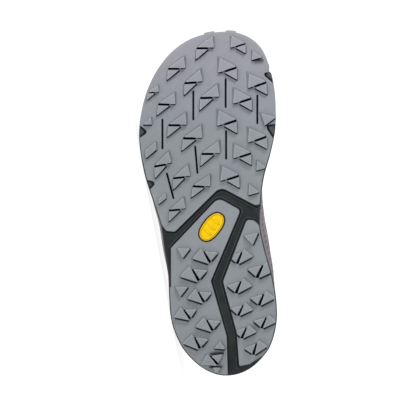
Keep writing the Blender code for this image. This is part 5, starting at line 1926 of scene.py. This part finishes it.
def spread_path(path, steps):
    """A smooth run of points and normals through the given ones."""
    points = [point for point, _ in path]
    normals = [normal for _, normal in path]
    fine = []
    for k in range(len(points) - 1):
        before = points[max(k - 1, 0)]
        after = points[min(k + 2, len(points) - 1)]
        leave = (points[k + 1] - before) * 0.5
        arrive = (after - points[k]) * 0.5
        for step in range(steps):
            share = step / steps
            fine.append((hermite(points[k], leave, points[k + 1], arrive, share),
                         normals[k].lerp(normals[k + 1], share).normalized()))
    fine.append((points[-1], normals[-1]))
    return fine


def build_lace():
    """A flat oval braid laced criss-cross from the bottom bar to the top eyelets."""
    solid = bmesh.new()
    layer = solid.loops.layers.uv.new("surface")
    runs = [((0, -1), (0, 1), False, 0.0002)]
    for row in range(EYELET_ROWS - 1):
        last = row == EYELET_ROWS - 2
        runs.append(((row, -1), (row + 1, 1), not last, 0.0002))
        runs.append(((row, 1), (row + 1, -1), not last, 0.0019))
    turn = LACE_WIDTH * 2.1 / LACE_SIDES
    for first, last, dive, lift in runs:
        rings = []
        walk = 0.0
        walks = []
        path = spread_path(crossing_path(first, last, dive, lift), 4)
        for k, (point, normal) in enumerate(path):
            ahead = path[min(k + 1, len(path) - 1)][0]
            behind = path[max(k - 1, 0)][0]
            tangent = (ahead - behind).normalized()
            across = tangent.cross(normal).normalized()
            up = across.cross(tangent)
            near_end = k if dive else min(k, len(path) - 1 - k)
            squeeze = mix(0.62, 1.0, smooth(2, 12, near_end))
            ring = []
            for side in range(LACE_SIDES):
                angle = 2.0 * math.pi * side / LACE_SIDES
                wide = math.copysign(abs(math.cos(angle)) ** 0.8, math.cos(angle))
                wide *= 0.5 * LACE_WIDTH * squeeze
                thick = 0.5 * LACE_THICK / squeeze ** 0.5 * math.sin(angle)
                ring.append(solid.verts.new(point + across * wide + up * thick))
            rings.append(ring)
            walk += (point - behind).length
            walks.append(walk)
        for low, high, start, end in zip(rings, rings[1:], walks, walks[1:]):
            for side in range(LACE_SIDES):
                after = (side + 1) % LACE_SIDES
                face = solid.faces.new((low[side], low[after], high[after], high[side]))
                left = side * turn
                right = (side + 1) * turn
                places = ((start, left), (start, right), (end, right), (end, left))
                for loop, place in zip(face.loops, places):
                    loop[layer].uv = place
        solid.faces.new(rings[0])
        solid.faces.new(rings[-1][::-1])
    outward(solid)
    piece = piece_from("lace_braided", solid, [LACE_BRAID])
    shade(piece, 70.0)
    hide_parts("lace")
    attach(piece, "root")


# Badge

def badge_outline(grow):
    """A plain oval, longer than wide and a little squared at its shoulders."""
    spin = Matrix.Rotation(math.radians(BADGE_TURN), 2)
    outline = []
    for k in range(64):
        angle = 2.0 * math.pi * k / 64
        cosine = math.cos(angle)
        sine = math.sin(angle)
        forwards = (0.5 * BADGE_LENGTH + grow) * math.copysign(abs(cosine) ** 0.85, cosine)
        inwards = (0.5 * BADGE_WIDTH + grow) * math.copysign(abs(sine) ** 0.85, sine)
        outline.append(spot(*BADGE_PLACE) + spin @ Vector((forwards, inwards)))
    return outline


def build_badge():
    """The plain yellow oval: a dark edge painted as the shade of its groove, a raised border and
    three ribs on a domed field.
    """
    solid = bmesh.new()
    centre = spot(*BADGE_PLACE)
    face = LUG_HEIGHT - 0.0004
    profile = (
        (0.0000, LUG_HEIGHT + BADGE_RECESS - GAP), (0.0000, face + 0.0004), (0.0003, face + 0.0001),
        (0.0008, face + 0.0001), (0.0010, face - 0.0001), (0.0014, face - 0.0003),
        (0.0020, face - 0.0003), (0.0024, face), (0.0040, face - 0.0001), (0.0066, face - 0.0003),
    )
    rings = [bent_ring(solid, badge_outline(-inset), height) for inset, height in profile]
    # The outer wall and the groove round the inset take the dark brown painted shade.
    ring_band(solid, rings[:4], 1)
    ring_band(solid, rings[3:6])
    ring_band(solid, rings[5:7], 2)
    ring_band(solid, rings[6:])
    solid.faces.new(rings[0])
    solid.faces.new(rings[-1])
    for k in (-1, 0, 1):
        for grow, height, index in ((0.0003, -0.00012, 2), (0.0, -0.00030, 0)):
            place = (
                Matrix.Translation((centre.x, centre.y, face + height))
                @ Matrix.Rotation(math.radians(BADGE_TURN), 4, "Z")
                @ Matrix.Translation((k * 0.2 * BADGE_LENGTH, 0.0, 0.0))
                @ Matrix.Diagonal((0.0009 + grow, 0.0036 + grow, 0.0004, 1.0))
            )
            ball = bmesh.ops.create_uvsphere(solid, u_segments=16, v_segments=8, radius=1.0,
                                             matrix=place)
            for corner in ball["verts"]:
                for band in corner.link_faces:
                    band.material_index = index
    outward(solid)
    piece = piece_from("badge_oval", solid, [BADGE_YELLOW, BADGE_EDGE_SHADE, BADGE_AMBER])
    shade(piece, 40.0)
    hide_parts("badge")
    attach(piece, "root")


# Stage

def press_to_floor():
    """Flattens the soft edges that rest on the floor."""
    for piece in bpy.data.objects:
        if piece.type == "MESH":
            for vertex in piece.data.vertices:
                vertex.co.z = max(vertex.co.z, 0.0)


def build_stage():
    """A plain pale floor, soft studio light and a long lens square to the sole."""
    solid = bmesh.new()
    bmesh.ops.create_grid(solid, x_segments=1, y_segments=1, size=60.0)
    mesh = bpy.data.meshes.new("floor")
    solid.to_mesh(mesh)
    solid.free()
    floor = bpy.data.objects.new("floor", mesh)
    bpy.context.scene.collection.objects.link(floor)
    material = bpy.data.materials.new("pale_floor")
    material.use_nodes = True
    shader = material.node_tree.nodes["Principled BSDF"]
    shader.inputs["Base Color"].default_value = (0.28, 0.28, 0.28, 1.0)
    shader.inputs["Roughness"].default_value = 0.9
    shader.inputs["Emission Color"].default_value = (1.0, 1.0, 1.0, 1.0)
    shader.inputs["Emission Strength"].default_value = 0.86
    mesh.materials.append(material)

    world = bpy.data.worlds.new("studio")
    world.use_nodes = True
    tree = world.node_tree
    direction = tree.nodes.new("ShaderNodeTexCoord")
    parts = tree.nodes.new("ShaderNodeSeparateXYZ")
    tree.links.new(direction.outputs["Generated"], parts.inputs[0])
    front = tree.nodes.new("ShaderNodeMapRange")
    front.interpolation_type = "SMOOTHSTEP"
    front.inputs["From Min"].default_value = -0.35
    front.inputs["From Max"].default_value = 0.15
    front.inputs["To Min"].default_value = 0.32
    front.inputs["To Max"].default_value = 1.0
    tree.links.new(parts.outputs["Y"], front.inputs["Value"])
    tree.links.new(front.outputs[0], tree.nodes["Background"].inputs[1])
    tree.nodes["Background"].inputs[0].default_value = (1.0, 1.0, 1.0, 1.0)
    bpy.context.scene.world = world

    middle = LAY @ Vector((0.1354, -0.0129, 0.0))
    view = LAY.to_3x3() @ Vector((0.0, 0.0, 1.0))
    up = LAY.to_3x3() @ Vector((1.0, 0.0, 0.0))
    right = view.cross(up)

    def area(name, offset, size, power):
        data = bpy.data.lights.new(name, "AREA")
        data.shape = "DISK"
        data.size = size
        data.energy = power
        lamp = bpy.data.objects.new(name, data)
        bpy.context.scene.collection.objects.link(lamp)
        place = middle + up * offset[0] + right * offset[1] - view * offset[2]
        place.z = max(place.z, 0.3)
        lamp.location = place
        lamp.rotation_mode = "QUATERNION"
        lamp.rotation_quaternion = (middle - place).to_track_quat("-Z", "Y")

    area("toe_key", (1.30, 0.35, 0.85), 0.45, 11.5)
    area("front_fill", (0.1, 0.9, 1.6), 1.6, 5.0)

    camera_data = bpy.data.cameras.new("camera")
    camera = bpy.data.objects.new("camera", camera_data)
    bpy.context.scene.collection.objects.link(camera)
    camera_data.sensor_width = SENSOR
    camera_data.lens = SENSOR * CAMERA_DISTANCE / (PICTURE * PIXEL)
    camera_data.clip_start = 0.05
    camera_data.clip_end = 200.0
    camera.matrix_world = (
        Matrix.Translation(middle - view * CAMERA_DISTANCE)
        @ Matrix((right, up, -view)).transposed().to_4x4()
    )
    bpy.context.scene.camera = camera
    bpy.context.scene.view_settings.view_transform = "Standard"


build_pod("outsole_forefoot", FRONT_POD, FRONT_LUGS, BALL_WIDTH, NOTCHES, SIPES)
build_pod("outsole_heel_outer", OUTER_HEEL_POD, OUTER_HEEL_LUGS, HEEL_WIDTH,
          recess=badge_outline(GAP))
build_pod("outsole_heel_inner", INNER_HEEL_POD, INNER_HEEL_LUGS, HEEL_WIDTH)
build_toe_rand()
build_teeth()
build_channel_lines()
build_notch_tongues()
build_midsole()
build_upper()
build_stitches()
build_rings()
build_tongue()
build_insole()
build_lace()
build_badge()
press_to_floor()
build_stage()
